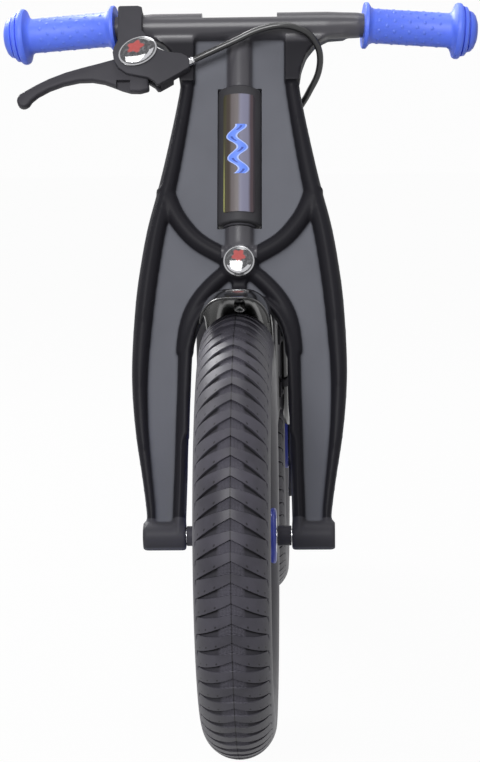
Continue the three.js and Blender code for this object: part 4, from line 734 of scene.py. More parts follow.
class BIKE_OT_fork_panel(BikeOperator, bpy.types.Operator):
    """One-piece moulding of fork, shield and handlebar"""

    bl_idname = "bike.fork_panel"
    bl_label = "Fork and shield"

    # Middle line of the side rib with its half width at each place.
    SIDE = [
        (63.0, 0, 3.6), (63.2, 17, 3.8), (66.4, 44, 4.2), (70.0, 72, 5.0), (72.2, 101, 5.8),
        (72.4, 130, 6.5), (69.6, 172, 7.3), (66.2, 201, 7.4), (61.3, 231, 7.3), (54.2, 261, 7.0),
        (48.5, 289, 6.5), (42.4, 323, 5.8), (39.0, 347, 5.5), (39.6, 363, 5.8), (41.0, 379, 6.5),
    ]
    OPENING = [(38.5, 0), (37.6, 36), (36.8, 73), (35.2, 130), (33.4, 144), (30.5, 155), (25.6, 164),
        (15, 173.4), (0, 177.4)]

    def make(self, context):
        forward = 1.5
        side = flowing(self.SIDE, 4)
        half = [
            piped("side_rib", [(u, v, forward) for u, v, _ in side], [w for *_, w in side], 1.28),
            self.rib("leg_rib", [(43.2, 0), (42.8, 20), (41.4, 72), (40.3, 120), (40.0, 137)], 4.7, 1.9),
            self.rib("lower_arm", [(40.0, 135), (38.4, 152), (34.2, 167), (26, 180.5), (14, 193),
                (0, 202.8)], 6.6, 1.25),
            self.rib("upper_arm", [(0, 202.8), (14, 210.5), (29.6, 220), (40.4, 231), (49.4, 245),
                (56, 263)], 7.1, 1.15),
            self.rib("corner_rib", [(53.2, 253), (56.2, 239), (59.5, 225)], 2.6, 2.4),
            turned("boss", [(38.05, 9.6), (38.9, 10.4), (68.0, 10.4), (69.0, 9.5)], 40, ALONG_X),
            cut_sheet("bar_fillet", [
                (34, 345), (44.8, 345), (46.6, 356), (50.2, 366), (56.6, 374.4), (66, 379.8), (80, 381.2),
                (80, 391), (34, 391),
            ], -4, 12),
        ]
        parts = half + [mirror_copy(piece) for piece in half]
        parts.append(self.plate())
        parts.append(self.arch_lip())
        parts += self.bar()
        upright = Matrix.Translation((0, 0, 0)) @ ALONG_V
        parts.append(turned("upper_neck", [(HEAD_TOP, 10.2), (BAR_HEIGHT, 10.2)], 40, upright))
        parts.append(turned("lower_neck", [(BADGE_HEIGHT - 4, 11.2), (HEAD_BOTTOM, 11.2)], 40, upright))
        parts.append(turned("badge_boss", [(0, 13), (11.2, 13), (12, 12.4)], 40,
            Matrix.Translation((0, BADGE_HEIGHT * MM, 0))))
        parts.append(turned("guard_post", [(176.3, 4.2), (182, 4.2)], 24, upright))
        parts.append(block("crown_rib", (-5, 175, -2), (5, 196, 7.5)))
        panel = joined("fork_panel_moulding", *parts)
        moulded(panel, sizes().voxel, 3)
        window = 16.55
        carved(
            panel,
            block("window", (-window, HEAD_BOTTOM - 2.2, -30), (window, HEAD_TOP + 2.2, 30)),
            block("notch", (-28.3, NOTCH_FLOOR, -30), (28.3, NOTCH_FLOOR + 30, 30)),
            block("wheel_gap", (-DROPOUT, -30, -30), (DROPOUT, 14, 30)),
            turned("axle_recess", [(61, 7.0), (75, 7.0)], 32, ALONG_X),
            turned("axle_recess_right", [(-75, 7.0), (-61, 7.0)], 32, ALONG_X),
            turned("cap_seat", [(389.2, 8.7), (430, 8.7)], 32, ALONG_V),
        )
        settle(panel, STEERING)
        finished(panel, "steering", ["fork_panel"], finish("shield"), 50)

    def rib(self, name, line, radius, thickness):
        return piped(name, [(u, v, 2.0) for u, v in flowing(line, 5)], radius, thickness)

    def plate(self):
        left = [(u, v) for u, v, _ in flowing(self.SIDE, 3)]
        edge = flowing(self.OPENING, 4)
        flip = [(-u, v) for u, v in left][::-1]
        outline = left + flip + [(-u, v) for u, v in edge] + edge[:-1][::-1]
        return cut_sheet("shield_plate", outline, -2.5, 2.5)

    def arch_lip(self):
        inner = flowing(self.OPENING[2:], 5)
        middle = 110.0
        outer = []
        for u, v in inner:
            reach = math.hypot(u, v - middle)
            outer.append((u * (1 + 4.7 / reach), v + (v - middle) / reach * 4.7))
        flip = lambda line: [(-u, v) for u, v in line]
        outline = inner + flip(inner[:-1])[::-1] + flip(outer[:-1]) + outer[::-1]
        return cut_sheet("arch_lip", outline, -8.5, 11.6)

    def bar(self):
        place = Matrix.Translation((0, BAR_HEIGHT * MM, BAR_FORWARD * MM)) @ ALONG_X
        middle = turned("bar", [(-90, 9.5), (-76, 9.6), (-66, 10.5), (66, 10.5), (76, 10.0), (90, 9.5)], 48,
            place)
        return [middle, *(self.bar_end(side) for side in (-1, 1))]

    def bar_end(self, side):
        return turned("bar_end", [(-6, 9.0), (81, 9.0)], 40, grip_place(side))


def grip_place(side):
    """Frame of a grip, with Z along it and outwards, in the steering frame."""
    droop, sweep = math.radians(1.5), math.radians(7)
    along = Vector((side * math.cos(droop) * math.cos(sweep), -math.sin(droop),
        -math.cos(droop) * math.sin(sweep)))
    turn = Vector((0, 0, 1)).rotation_difference(along).to_matrix().to_4x4()
    return Matrix.Translation((side * 91 * MM, BAR_HEIGHT * MM, BAR_FORWARD * MM)) @ turn


class BIKE_OT_grips(BikeOperator, bpy.types.Operator):
    """Rubber grips with end rings, a guard flange and rows of low dots"""

    bl_idname = "bike.grips"
    bl_label = "Grips"

    def make(self, context):
        for side, name in ((-1, "right"), (1, "left")):
            profile = [
                (2, 9.3), (2, 16.9), (2.6, 17.4), (4.6, 17.4), (5.5, 16.4), (7.2, 13.9), (9.6, 12.9),
                (66.5, 12.9), (68.6, 14.2), (70.2, 17.4), (71.2, 20.2), (72.6, 21.0), (74.8, 21.0),
                (76, 20.2), (76.4, 17.0), (77.0, 17.0), (77.4, 18.8), (79.8, 18.3), (80.6, 17.2),
                (80.9, 14.2), (81.5, 14.2), (81.9, 15.6), (84.4, 14.8), (86.4, 12.6), (88.1, 8.4),
                (88.8, 3.4), (89, 0.3),
            ]
            body = turned("grip_body", profile, 72)
            body.location.z = 0
            dots = [self.dot(row, turn) for row in range(9) for turn in range(10)]
            piece = joined(f"{name}_grip_rubber", body, *dots)
            settle(piece, STEERING @ grip_place(side))
            finished(piece, "steering", [f"{name}_grip"], finish("grip"), 40)

    def dot(self, row, turn):
        angle = math.radians(36 * turn + (18 if row % 2 else 0))
        let_go()
        bpy.ops.mesh.primitive_uv_sphere_add(segments=8, ring_count=5, radius=1.7 * MM)
        dot = bpy.context.object
        dot.scale.z = 0.45
        bpy.ops.object.transform_apply(location=False, rotation=False, scale=True)
        spot = Vector((math.cos(angle), math.sin(angle), 0)) * (12.9 * MM + sizes().grip_dot - 0.72 * MM)
        spot.z = (13 + row * 5.7) * MM
        dot.matrix_world = Matrix.Translation(spot) @ Vector((0, 0, 1)).rotation_difference(
            Vector((math.cos(angle), math.sin(angle), 0))).to_matrix().to_4x4()
        return dot


class BIKE_OT_tyres(BikeOperator, bpy.types.Operator):
    """Air tyres with chevron tread"""

    bl_idname = "bike.tyres"
    bl_label = "Tyres"

    MIDDLE = 133.5
    SECTION = 26.5
    EDGE = math.radians(67)

    def make(self, context):
        block = self.tread_block()
        take(block)
        step = bpy.data.objects.new("tread_step", None)
        context.scene.collection.objects.link(step)
        step.rotation_euler.x = 2 * math.pi / sizes().tread_blocks
        worked(block, "ARRAY", count=sizes().tread_blocks, use_relative_offset=False, use_object_offset=True,
               offset_object=step, use_merge_vertices=True, use_merge_vertices_cap=True,
               merge_threshold=0.02 * MM)
        bpy.data.objects.remove(step)
        close_up(block, 0.02)
        for end, place in (("front", FRONT_AXLE), ("rear", REAR_AXLE)):
            take(block)
            bpy.ops.object.duplicate()
            tyre = settle(named(f"{end}_tyre_rubber"), place)
            finished(tyre, f"{end}_wheel_set", [f"{end}_tyre"], finish("rubber"), 33)
        bpy.data.objects.remove(block)

    def columns(self):
        """Section of the tyre: share of the tread's half width, place across and radius."""
        tread = [(s / 12, self.on_section(self.SECTION, s / 12 * self.EDGE)) for s in range(-12, 13)]
        turn = [math.radians(angle) for angle in (72, 79, 88, 98, 110, 123, 135, 146)]
        wall = [
            (2.0, self.on_section(self.SECTION - (0.5 if 1 < i < 6 else 0.0), angle))
            for i, angle in enumerate(turn)]
        inside = [
            (2.0, self.on_section(self.SECTION - 4, math.radians(angle))) for angle in range(140, -141, -28)]
        bead = [(2.0, (15.0, 101.8)), (2.0, (12.6, 101.8))]
        flip = lambda run: [(-s, (-x, r)) for s, (x, r) in reversed(run)]
        return [*tread, *wall, *bead, *inside, *flip(bead), *flip(wall)]

    def on_section(self, radius, angle):
        return radius * math.sin(angle), self.MIDDLE + radius * math.cos(angle)

    def tread_block(self):
        """One chevron block: a V-shaped edge, a sunken three-cornered floor and a flat land."""
        pitch = 2 * math.pi / sizes().tread_blocks
        fall, depth = sizes().tread_slope, sizes().tread_depth / MM
        columns = self.columns()
        rows = 9
        let_go()
        bpy.ops.mesh.primitive_grid_add(x_subdivisions=len(columns), y_subdivisions=rows - 1, size=1)
        piece = named("tread_block")
        mesh = piece.data
        across = len(columns) + 1
        lattice = mesh.attributes.new("lattice", "FLOAT", "POINT")
        shade = mesh.attributes.new("groove", "FLOAT", "POINT")
        points = []
        for index, vertex in enumerate(mesh.vertices):
            row, column = divmod(index, across)
            share, (x, radius) = columns[column % len(columns)]
            reach = min(abs(share), 1.0)
            wide = max(0.6 * (1 - reach), 0.05)
            sunk = depth * min(1.0, (1 - reach) / 0.1)
            steps = [0, 0.03, 0.03 + wide * 0.15, wide * 0.5, wide * 0.92, wide, wide + 0.08, 0.96, 1]
            turn = fall * reach + (steps[row] if reach < 1 else row / (rows - 1))
            drop = sunk * [0, 1, 1, 0.75, 0.5, 0, 0, 0, 0][row]
            scale = (self.SECTION - drop) / self.SECTION if reach < 1 else 1.0
            x, radius = x * scale, self.MIDDLE + (radius - self.MIDDLE) * scale
            vertex.co = (x * MM, -radius * math.cos(turn * pitch) * MM, -radius * math.sin(turn * pitch) * MM)
            low = 1 <= row <= 4 and reach < 0.99
            lattice.data[index].value = 1.0 if low and reach < 0.26 else 0.0
            # This mask is painted shade on the sunken floor: darkest under the V edge on the arms, lighter
            # lower down and near the middle.
            shade.data[index].value = ((1.0 if row < 3 else 0.55) if reach > 0.3 else 0.35) if low else 0.0
            points.append((share, fall * reach + steps[row]))
        layer = mesh.uv_layers.new(name="tread")
        for loop in mesh.loops:
            layer.data[loop.index].uv = points[loop.vertex_index]
        return piece


class BIKE_OT_wheels(BikeOperator, bpy.types.Operator):
    """Moulded wheels with five forked spokes, their bearing pockets and the rear brake drum"""

    bl_idname = "bike.wheels"
    bl_label = "Wheels"

    RIM = [
        (18, 104.4), (17.3, 105.1), (15.9, 105.1), (15.3, 104.5), (15.3, 101.9), (14.6, 101.3),
        (11.4, 101.3), (9.4, 98.5), (8.4, 98.1), (-8.4, 98.1), (-9.4, 98.5), (-11.4, 101.3),
        (-14.6, 101.3), (-15.3, 101.9), (-15.3, 104.5), (-15.9, 105.1), (-17.3, 105.1), (-18, 104.4),
        (-18, 97.9), (-17.6, 97.2), (-12.5, 93.6), (-11.5, 93.3), (11.5, 93.3), (12.5, 93.6),
        (17.6, 97.2), (18, 97.9),
    ]
    FORK = [
        (12, 9.6), (15.5, 8.2), (19, 6.9), (25, 6.3), (41, 6.2), (47, 7.2), (52, 9.8), (60, 15.6),
        (88.3, 34.9), (92.4, 30.4), (95.4, 20.8), (70.5, 4.4), (66.6, 1.3), (65.4, 0),
    ]
    DRUM = [(7, 14), (7, 41), (8, 42), (26.4, 42), (27, 41.4), (27, 38.6), (26.4, 38), (11.6, 38),
        (11, 37.4), (11, 14)]

    def make(self, context):
        for end, place in (("front", FRONT_AXLE), ("rear", REAR_AXLE)):
            across = place @ ALONG_X
            spider = joined("spider", self.hub(end == "rear"), *(self.spoke(i) for i in range(5)))
            moulded(spider, 1.3, 4)
            carved(
                spider,
                turned("bearing_pocket", [(19.2, 13.05), (30, 13.05)], 48, ALONG_X),
                turned("bearing_pocket", [(-30, 13.05), (-19.2, 13.05)], 48, ALONG_X),
                turned("axle_way", [(-30, 7.4), (30, 7.4)], 32, ALONG_X),
            )
            settle(spider, place)
            rim = turned("rim", self.RIM, 144, across, ring=True)
            parts = [spider, carved(rim, turned("valve_hole", [(85, 3.5), (110, 3.5)], 20, place))]
            if end == "rear":
                parts.append(turned("drum", self.DRUM, 96, across, ring=True))
            wheel = joined(f"{end}_wheel_moulding", *parts)
            finished(wheel, f"{end}_wheel_set", [f"{end}_wheel"], finish("wheel"), 42)

    def hub(self, has_drum):
        profile = [(-27, 6), (-27, 19.2), (-26.3, 20), (-23.6, 20), (-22.4, 18.6), (-21, 16.2), (-19, 16)]
        if has_drum:
            profile += [(27, 16), (27, 6)]
        else:
            profile += [(-along, radius) for along, radius in profile[::-1]]
        return turned("hub", profile, 64, ALONG_X)

    def spoke(self, index):
        outline = self.FORK + [(along, -across) for along, across in self.FORK[-2::-1]]
        spoke = cut_sheet("spoke", outline, -8.6, 8.6, SIDE_VIEW)
        eased(spoke, 2.2, 3, 50)
        return settle(spoke, Matrix.Rotation(-math.radians(72 * index + 36) + math.pi / 2, 4, "X"))


class BIKE_OT_axles(BikeOperator, bpy.types.Operator):
    """Axles with their bearings, bolts, nuts and spacers, and the steering shaft with its bushes and cap"""

    bl_idname = "bike.axles"
    bl_label = "Axles and steering shaft"

    BEARING = [
        (19.3, 5.3), (19.3, 7.2), (19.8, 7.6), (19.8, 10.8), (19.3, 11.2), (19.3, 12.5), (19.7, 13),
        (26.6, 13), (27, 12.5), (27, 11.2), (26.5, 10.8), (26.5, 7.6), (27, 7.2), (27, 5.3),
    ]
    BOLT = [(45.8, 2.5), (46.3, 3), (60.9, 3), (60.9, 6.2), (61.4, 6.7), (65.4, 6.7), (66.3, 6.2),
        (66.7, 5.3)]
    NUT = [(48.3, 8.7), (49, 9.5), (54.6, 9.5), (55.3, 8.7)]
    DRILLED = [
        (-45.5, 0.3), (-45.5, 3.1), (-60.7, 3.1), (-60.7, 4.3), (-60, 5), (60, 5), (60.7, 4.3),
        (60.7, 3.1), (45.5, 3.1), (45.5, 0.3),
    ]
    SHAFT = [(205.1, 0.3), (205.1, 4.4), (205.7, 5), (388.5, 5), (389.1, 4.4), (389.1, 0.3)]
    CAP = [(389.4, 0.3), (389.4, 8.1), (389.7, 8.4), (391.6, 8.2), (392.8, 7.6), (393.4, 6.5), (393.1, 5.4),
        (392.6, 4.8), (392.6, 0.3)]
    BUSH = [(0, 5.3), (0, 12.1), (0.4, 12.5), (1.2, 12.5), (1.6, 12.1), (1.6, 5.3)]

    def make(self, context):
        self.steering_shaft()
        for end, place in (("front", FRONT_AXLE), ("rear", REAR_AXLE)):
            for name, turn in (("right", OTHER_SIDE), ("left", Matrix())):
                side = place @ turn @ ALONG_X
                bearing = turned(f"{end}_bearing_{name}_ring", self.BEARING, 56, side, ring=True)
                finished(bearing, f"{end}_wheel_set", [f"{end}_bearing_{name}"], finish("steel"))
                if end == "front":
                    self.bolt(name, side)
                    self.spacer("front", name, side, 27.4, 37.6)
                else:
                    self.nut(name, side)
                    self.spacer("rear", name, side, 27.4 if name == "right" else 30.9, 37.6)
        axle = turned("front_axle_bar", self.DRILLED, 40, FRONT_AXLE @ ALONG_X)
        finished(axle, "steering", ["front_axle"], finish("steel"))
        self.rear_axle()

    def steering_shaft(self):
        upright = STEERING @ ALONG_V
        shaft = turned("steering_shaft_bar", self.SHAFT, 40, upright)
        finished(shaft, "steering", ["steering_shaft"], finish("steel"))
        cap = turned("steering_cap_plug", self.CAP, 48, upright)
        finished(cap, "steering", ["steering_cap"], finish("satin"))
        for name, end, way in (("upper", HEAD_TOP, 1), ("lower", HEAD_BOTTOM, -1)):
            sleeve = [(0.3 - 12, 5.3), (0.3 - 12, 8.3), (0.7 - 12, 8.65), (0.3, 8.65)]
            profile = sleeve + [(along + 0.3, radius) for along, radius in self.BUSH[1:]]
            bush = turned(f"{name}_bush_ring", [(end + way * along, radius) for along, radius in profile],
                48, upright, ring=True)
            finished(bush, "frame", [f"{name}_steering_bush"], finish("satin"))

    def bolt(self, name, side):
        bolt = turned(f"front_axle_bolt_{name}_steel", self.BOLT, 48, side)
        carved(bolt, turned("socket", [(63, 3.0), (69, 3.0)], 6, side))
        finished(bolt, "steering", [f"front_axle_bolt_{name}"], finish("black_steel"))

    def spacer(self, end, name, side, start, stop):
        profile = [(start, 5.4), (start, 6.9), (start + 0.4, 7.2), (stop - 0.4, 7.2), (stop, 6.9),
            (stop, 5.4)]
        spacer = turned(f"{end}_spacer_{name}_ring", profile, 40, side, ring=True)
        body = "steering" if end == "front" else "frame"
        finished(spacer, body, [f"{end}_spacer_{name}"], finish("satin"))

    def nut(self, name, side):
        nut = turned(f"rear_axle_nut_{name}_steel", self.NUT, 6, side)
        carved(nut, turned("thread_hole", [(45, 5.1), (58, 5.1)], 32, side))
        eased(nut, 0.35, 2)
        finished(nut, "frame", [f"rear_axle_nut_{name}"], finish("steel"))

    def rear_axle(self):
        thread = []
        for turn in range(17):
            thread += [(39.5 + turn, 5.0), (40 + turn, 4.6)]
        profile = [(-along, radius) for along, radius in thread[::-1]] + thread
        profile = [(-57, 4.1), *profile, (57, 4.1)]
        axle = turned("rear_axle_bar", profile, 32, REAR_AXLE @ ALONG_X)
        finished(axle, "frame", ["rear_axle"], finish("steel"))


class BIKE_OT_inner_tubes(BikeOperator, bpy.types.Operator):
    """Inner tubes with their valves"""

    bl_idname = "bike.inner_tubes"
    bl_label = "Inner tubes"

    VALVE = [
        (118.5, 3.1), (93.3, 3.1), (93, 3.0), (85, 3.0), (84.6, 2.4), (83.6, 2.4), (83.2, 3.1),
        (76.6, 3.1), (75.7, 2.7), (75.4, 1.6),
    ]

    def make(self, context):
        for end, place in (("front", FRONT_AXLE), ("rear", REAR_AXLE)):
            section = [math.radians(10 * turn) for turn in range(36)]
            ring = [(17.5 * math.sin(angle), 133.5 + 17.5 * math.cos(angle)) for angle in section]
            tube = turned("tube", ring, 96, place @ ALONG_X, ring=True)
            valve = turned("valve", self.VALVE, 24, place)
            piece = joined(f"{end}_tube_rubber", tube, valve)
            finished(piece, f"{end}_wheel_set", [f"{end}_inner_tube"], finish("tube"))


class BIKE_OT_main_frame(BikeOperator, bpy.types.Operator):
    """One-piece moulding of head tube, beam, yoke, stays and seat tube"""

    bl_idname = "bike.main_frame"
    bl_label = "Main frame"

    HEAD = [
        (233.1, 8.75), (233.1, 14.6), (233.6, 15.8), (234.8, 16.2), (337.4, 16.2), (338.6, 15.8),
        (339.1, 14.6), (339.1, 8.75), (327.2, 8.75), (327.2, 6.2), (245, 6.2), (245, 8.75),
    ]

    def make(self, context):
        rough = frame["nodes"]["main_frame"]
        take(rough)
        bpy.ops.object.duplicate()
        body = named("main_frame_moulding")
        bpy.ops.object.parent_clear(type="CLEAR_KEEP_TRANSFORM")
        close_up(body)
        moulded(body, 2.1, 14, 0.55)
        upright = STEERING @ ALONG_V
        carved(body, turned("tube_place", [(215, 15.9), (355, 15.9)], 48, upright))
        carved(body, turned("post_hole", [(-38, 11.2), (80, 11.2)], 48, SEAT_BASE))
        # The neck's sides stay clear of the panel's window when the bar is turned all the way.
        low, high = HEAD_BOTTOM - 3, HEAD_TOP + 3
        carved(
            body,
            block("neck_side_left", (11.6, low, -16.6), (24, high, -7), STEERING),
            block("neck_side_right", (-24, low, -16.6), (-11.6, high, -7), STEERING),
        )
        tube = turned("head_tube", self.HEAD, 80, upright, ring=True)
        cheek = block("cheek", (-18, HEAD_BOTTOM + 3, -20.8), (18, HEAD_TOP + 10, -16.5), STEERING)
        piece = joined("main_frame_moulding", body, tube, cheek)
        finished(piece, "frame", ["main_frame"], finish("frame"), 50)


class BIKE_OT_badges(BikeOperator, bpy.types.Operator):
    """Foil on the head tube and the two domed badges"""

    bl_idname = "bike.badges"
    bl_label = "Foil and badges"

    DISC = [(0, 11.0), (0.5, 11.6), (1.3, 11.6), (1.5, 11.1), (1.9, 10.6), (2.5, 9.4), (3.0, 7.4),
        (3.35, 4.6), (3.55, 1.6), (3.6, 0.2)]

    def make(self, context):
        self.foil()
        round_badge = turned("centre_badge_dome", self.DISC, 64)
        self.mapped(round_badge, 11.6, 11.6)
        settle(round_badge, STEERING @ Matrix.Translation((0, BADGE_HEIGHT * MM, 12.3 * MM)))
        finished(round_badge, "steering", ["centre_badge"], finish("badge"))
        oval = turned("lever_badge_dome",
            [(along * 3 / 3.6, radius * 10.8 / 11.6) for along, radius in self.DISC], 64)
        oval.data.transform(Matrix.Diagonal((15.3 / 10.8, 1, 1, 1)))
        self.mapped(oval, 15.3, 10.8)
        turn = Matrix.Rotation(math.radians(25), 4, "Z")
        settle(oval, CLAMP @ (Matrix.Translation((6.3 * MM, -24.7 * MM, 20.1 * MM)) @ turn))
        finished(oval, "steering", ["lever_badge"], finish("badge"))

    def mapped(self, piece, half_width, half_height):
        layer = piece.data.uv_layers.new(name="face")
        for loop in piece.data.loops:
            spot = piece.data.vertices[loop.vertex_index].co
            layer.data[loop.index].uv = (spot.x / half_width / MM, spot.y / half_height / MM)

    def foil(self):
        let_go()
        bpy.ops.mesh.primitive_grid_add(x_subdivisions=28, y_subdivisions=18, size=1)
        foil = named("head_tube_foil")
        layer = foil.data.uv_layers.new(name="face")
        for loop in foil.data.loops:
            spot = foil.data.vertices[loop.vertex_index].co
            layer.data[loop.index].uv = (spot.x * 2, spot.y * 2)
        for vertex in foil.data.vertices:
            across, up = vertex.co.x * 2, vertex.co.y * 2
            corner = max(0.0, abs(across) - 0.8) / 0.2
            height = 286.1 + up * (46 - 2.2 * (1 - math.sqrt(max(0.0, 1 - corner * corner))))
            angle = across * math.radians(44)
            vertex.co = (16.45 * math.sin(angle) * MM, height * MM, 16.45 * math.cos(angle) * MM)
        worked(foil, "SOLIDIFY", thickness=0.5 * MM, offset=1.0)
        settle(foil, STEERING)
        finished(foil, "frame", ["head_tube_sticker"], finish("foil"))


class BIKE_OT_mudguard(BikeOperator, bpy.types.Operator):
    """Short gloss mudguard under the arch, with its screw and washer"""

    bl_idname = "bike.mudguard"
    bl_label = "Front mudguard"

    def make(self, context):
        let_go()
        bpy.ops.mesh.primitive_grid_add(x_subdivisions=36, y_subdivisions=48, size=1)
        guard = named("front_mudguard_shell")
        for vertex in guard.data.vertices:
            across, along = vertex.co.x * 2, vertex.co.y + 0.5
            round_turn = max(0.0, abs(across) - 0.22) / 0.78 * math.pi / 2
            share = min(abs(across) / 0.22, 1) * 0.245 + 0.755 * math.sin(round_turn)
            fall = 18 * (1 - math.cos(round_turn))
            angle = math.radians(-32 + 60 * along)
            radius = (173.3 - fall) * MM
            side = math.copysign(share * 23.8 * MM, across)
            vertex.co = (side, radius * math.cos(angle), 12 * MM - radius * math.sin(angle))
        worked(guard, "SOLIDIFY", thickness=1.4 * MM, offset=0.0)
        close_up(guard)
        carved(guard, turned("screw_hole", [(155, 2.3), (185, 2.3)], 24, ALONG_V))
        eased(guard, 0.4, 2, 50)
        settle(guard, STEERING)
        finished(guard, "steering", ["front_mudguard"], finish("gloss"), 50)
        upright = STEERING @ ALONG_V
        washer = turned("mudguard_washer_steel", [(174.6, 2.3), (174.6, 5), (175.6, 5), (175.6, 2.3)], 40,
            upright, ring=True)
        finished(washer, "steering", ["mudguard_washer"], finish("steel"))
        screw = turned("mudguard_screw_steel", [
            (168.3, 1.4), (168.4, 2.6), (169.0, 3.7), (170.0, 4.2), (170.9, 4.2), (170.9, 2), (177, 2),
            (177.4, 1.4),
        ], 32, upright)
        carved(screw, block("slot_long", (-0.5, 167.5, -2.2), (0.5, 169.6, 2.2), STEERING),
               block("slot_cross", (-2.2, 167.5, -0.5), (2.2, 169.6, 0.5), STEERING))
        finished(screw, "steering", ["mudguard_screw"], finish("steel"))


class BIKE_OT_brake_lever(BikeOperator, bpy.types.Operator):
    """Brake lever: clamped housing, curved blade, pin, screw and cable ferrule"""

    bl_idname = "bike.brake_lever"
    bl_label = "Brake lever"

    BLADE = [
        (12.2, -22.4), (10, -19.6), (6.4, -18.6), (3, -19.4), (0.2, -21.6), (-5, -25), (-12.1, -28.6),
        (-24, -31.9), (-36, -35), (-48, -38.5), (-60.5, -43.4), (-70, -48.2), (-77.6, -52.6),
        (-82.2, -55.4), (-84.5, -58.8), (-84.2, -62.6), (-81.8, -65.4), (-78.2, -65.8), (-75.2, -63.8),
        (-73.2, -60.6), (-68.6, -56.6), (-60, -51.8), (-49.7, -47.9), (-38, -45.4), (-28, -45.2),
        (-19, -46.9), (-12.7, -49.3), (-6, -52.2), (1.1, -54.4), (8, -54.6), (15, -52.8), (14.2, -46),
        (13.6, -40.9), (13, -31),
    ]

    def make(self, context):
        self.housing()
        self.blade()
        pin = turned("lever_pivot_pin_steel", [(3.1, 1.9), (3.5, 2.4), (19.6, 2.4), (20, 1.9)], 32,
                     CLAMP @ Matrix.Translation((6 * MM, -26.7 * MM, 0)))
        finished(pin, "steering", ["lever_pivot_pin"], finish("steel"))
        screw_place = Matrix.Translation((16 * MM, -16.5 * MM, 0))
        screw = turned("clamp_screw_steel",
            [(0.2, 2.6), (0.7, 3.3), (2.7, 3.3), (2.7, 2), (15, 2), (15.4, 1.5)], 32, screw_place)
        carved(screw, turned("screw_socket", [(-1, 1.6), (1.7, 1.6)], 6, screw_place))
        settle(screw, CLAMP)
        finished(screw, "steering", ["clamp_screw"], finish("steel"))
        exit_turn = Matrix.Translation((43.8 * MM, -32.2 * MM,
            15.7 * MM)) @ Matrix.Rotation(math.radians(25), 4, "Z") @ ALONG_X
        ferrule = turned("cable_ferrule_steel", [
            (-5.7, 2.6), (-5.7, 3.1), (2.2, 3.1), (2.6, 2.8), (3.0, 3.1), (4.1, 3.1), (4.5, 2.8), (4.5, 2.55),
        ], 36, CLAMP @ exit_turn, ring=True)
        finished(ferrule, "steering", ["cable_ferrule"], finish("steel"))

    def housing(self):
        outline = [
            (9, 11.2), (9, -7.4), (11, -9.6), (13, -12.8), (17, -18.4), (22, -22.4), (28, -24.9),
            (34, -25.7), (38.6, -26.2), (42.4, -28.2), (45, -31.2), (45, -37.4), (38, -41.8), (30, -46.5),
            (22.6, -50.8), (20.6, -50.9), (18.6, -48.2), (14, -45.2), (6, -43.5), (-2, -41.6),
            (-8.2, -37.2), (-11.6, -31.4), (-12.6, -24.8), (-11.6, -20.4), (-9, -16), (-9, 11.2),
            (-8, 12.3), (5.8, 12.3),
        ]
        block_piece = cut_sheet("housing_block", outline, 3, 20)
        eased(block_piece, 2.0, 4, 28)
        barrel = turned("clamp_barrel", [(-8.2, 12.5), (-9, 11.7), (-9, 10.3), (9, 10.3), (9, 11.7),
            (8.2, 12.5)], 64,
                        Matrix.Translation((0, 0, BAR_FORWARD * MM)) @ ALONG_X, ring=True)
        bar_way = turned("bar_way", [(-12, 10.4), (14, 10.4)], 64,
            Matrix.Translation((0, 0, BAR_FORWARD * MM)) @ ALONG_X)
        carved(
            block_piece, bar_way,
            cut_sheet("blade_slot", [(-20, -62.7), (23.4, -62.7), (23.4, -38), (16, -17.2), (-20, -17.2)],
                7.5, 16.3),
            block("nose_back", (32.5, -62, -2), (60, -12, 11.3)),
            turned("pin_hole", [(0, 2.45), (24, 2.45)], 32, Matrix.Translation((6 * MM, -26.7 * MM, 0))),
            block("parting_line", (8.2, -46.9, 19.6), (26, -46.5, 22),
                Matrix.Rotation(math.radians(-57), 4, "Z")),
        )
        piece = joined("brake_lever_housing_moulding", block_piece, barrel)
        settle(piece, CLAMP)
        finished(piece, "steering", ["brake_lever_housing"], finish("grained"), 40)

    def blade(self):
        blade = cut_sheet("brake_lever_blade_moulding", self.BLADE, 7.9, 16.0)
        eased(blade, 2.6, 4, 28)
        carved(blade, block("cable_pocket", (-10, -58, 11.5), (0.5, -45.5, 17)))
        settle(blade, CLAMP)
        finished(blade, "lever", ["brake_lever_blade"], finish("satin"), 45)


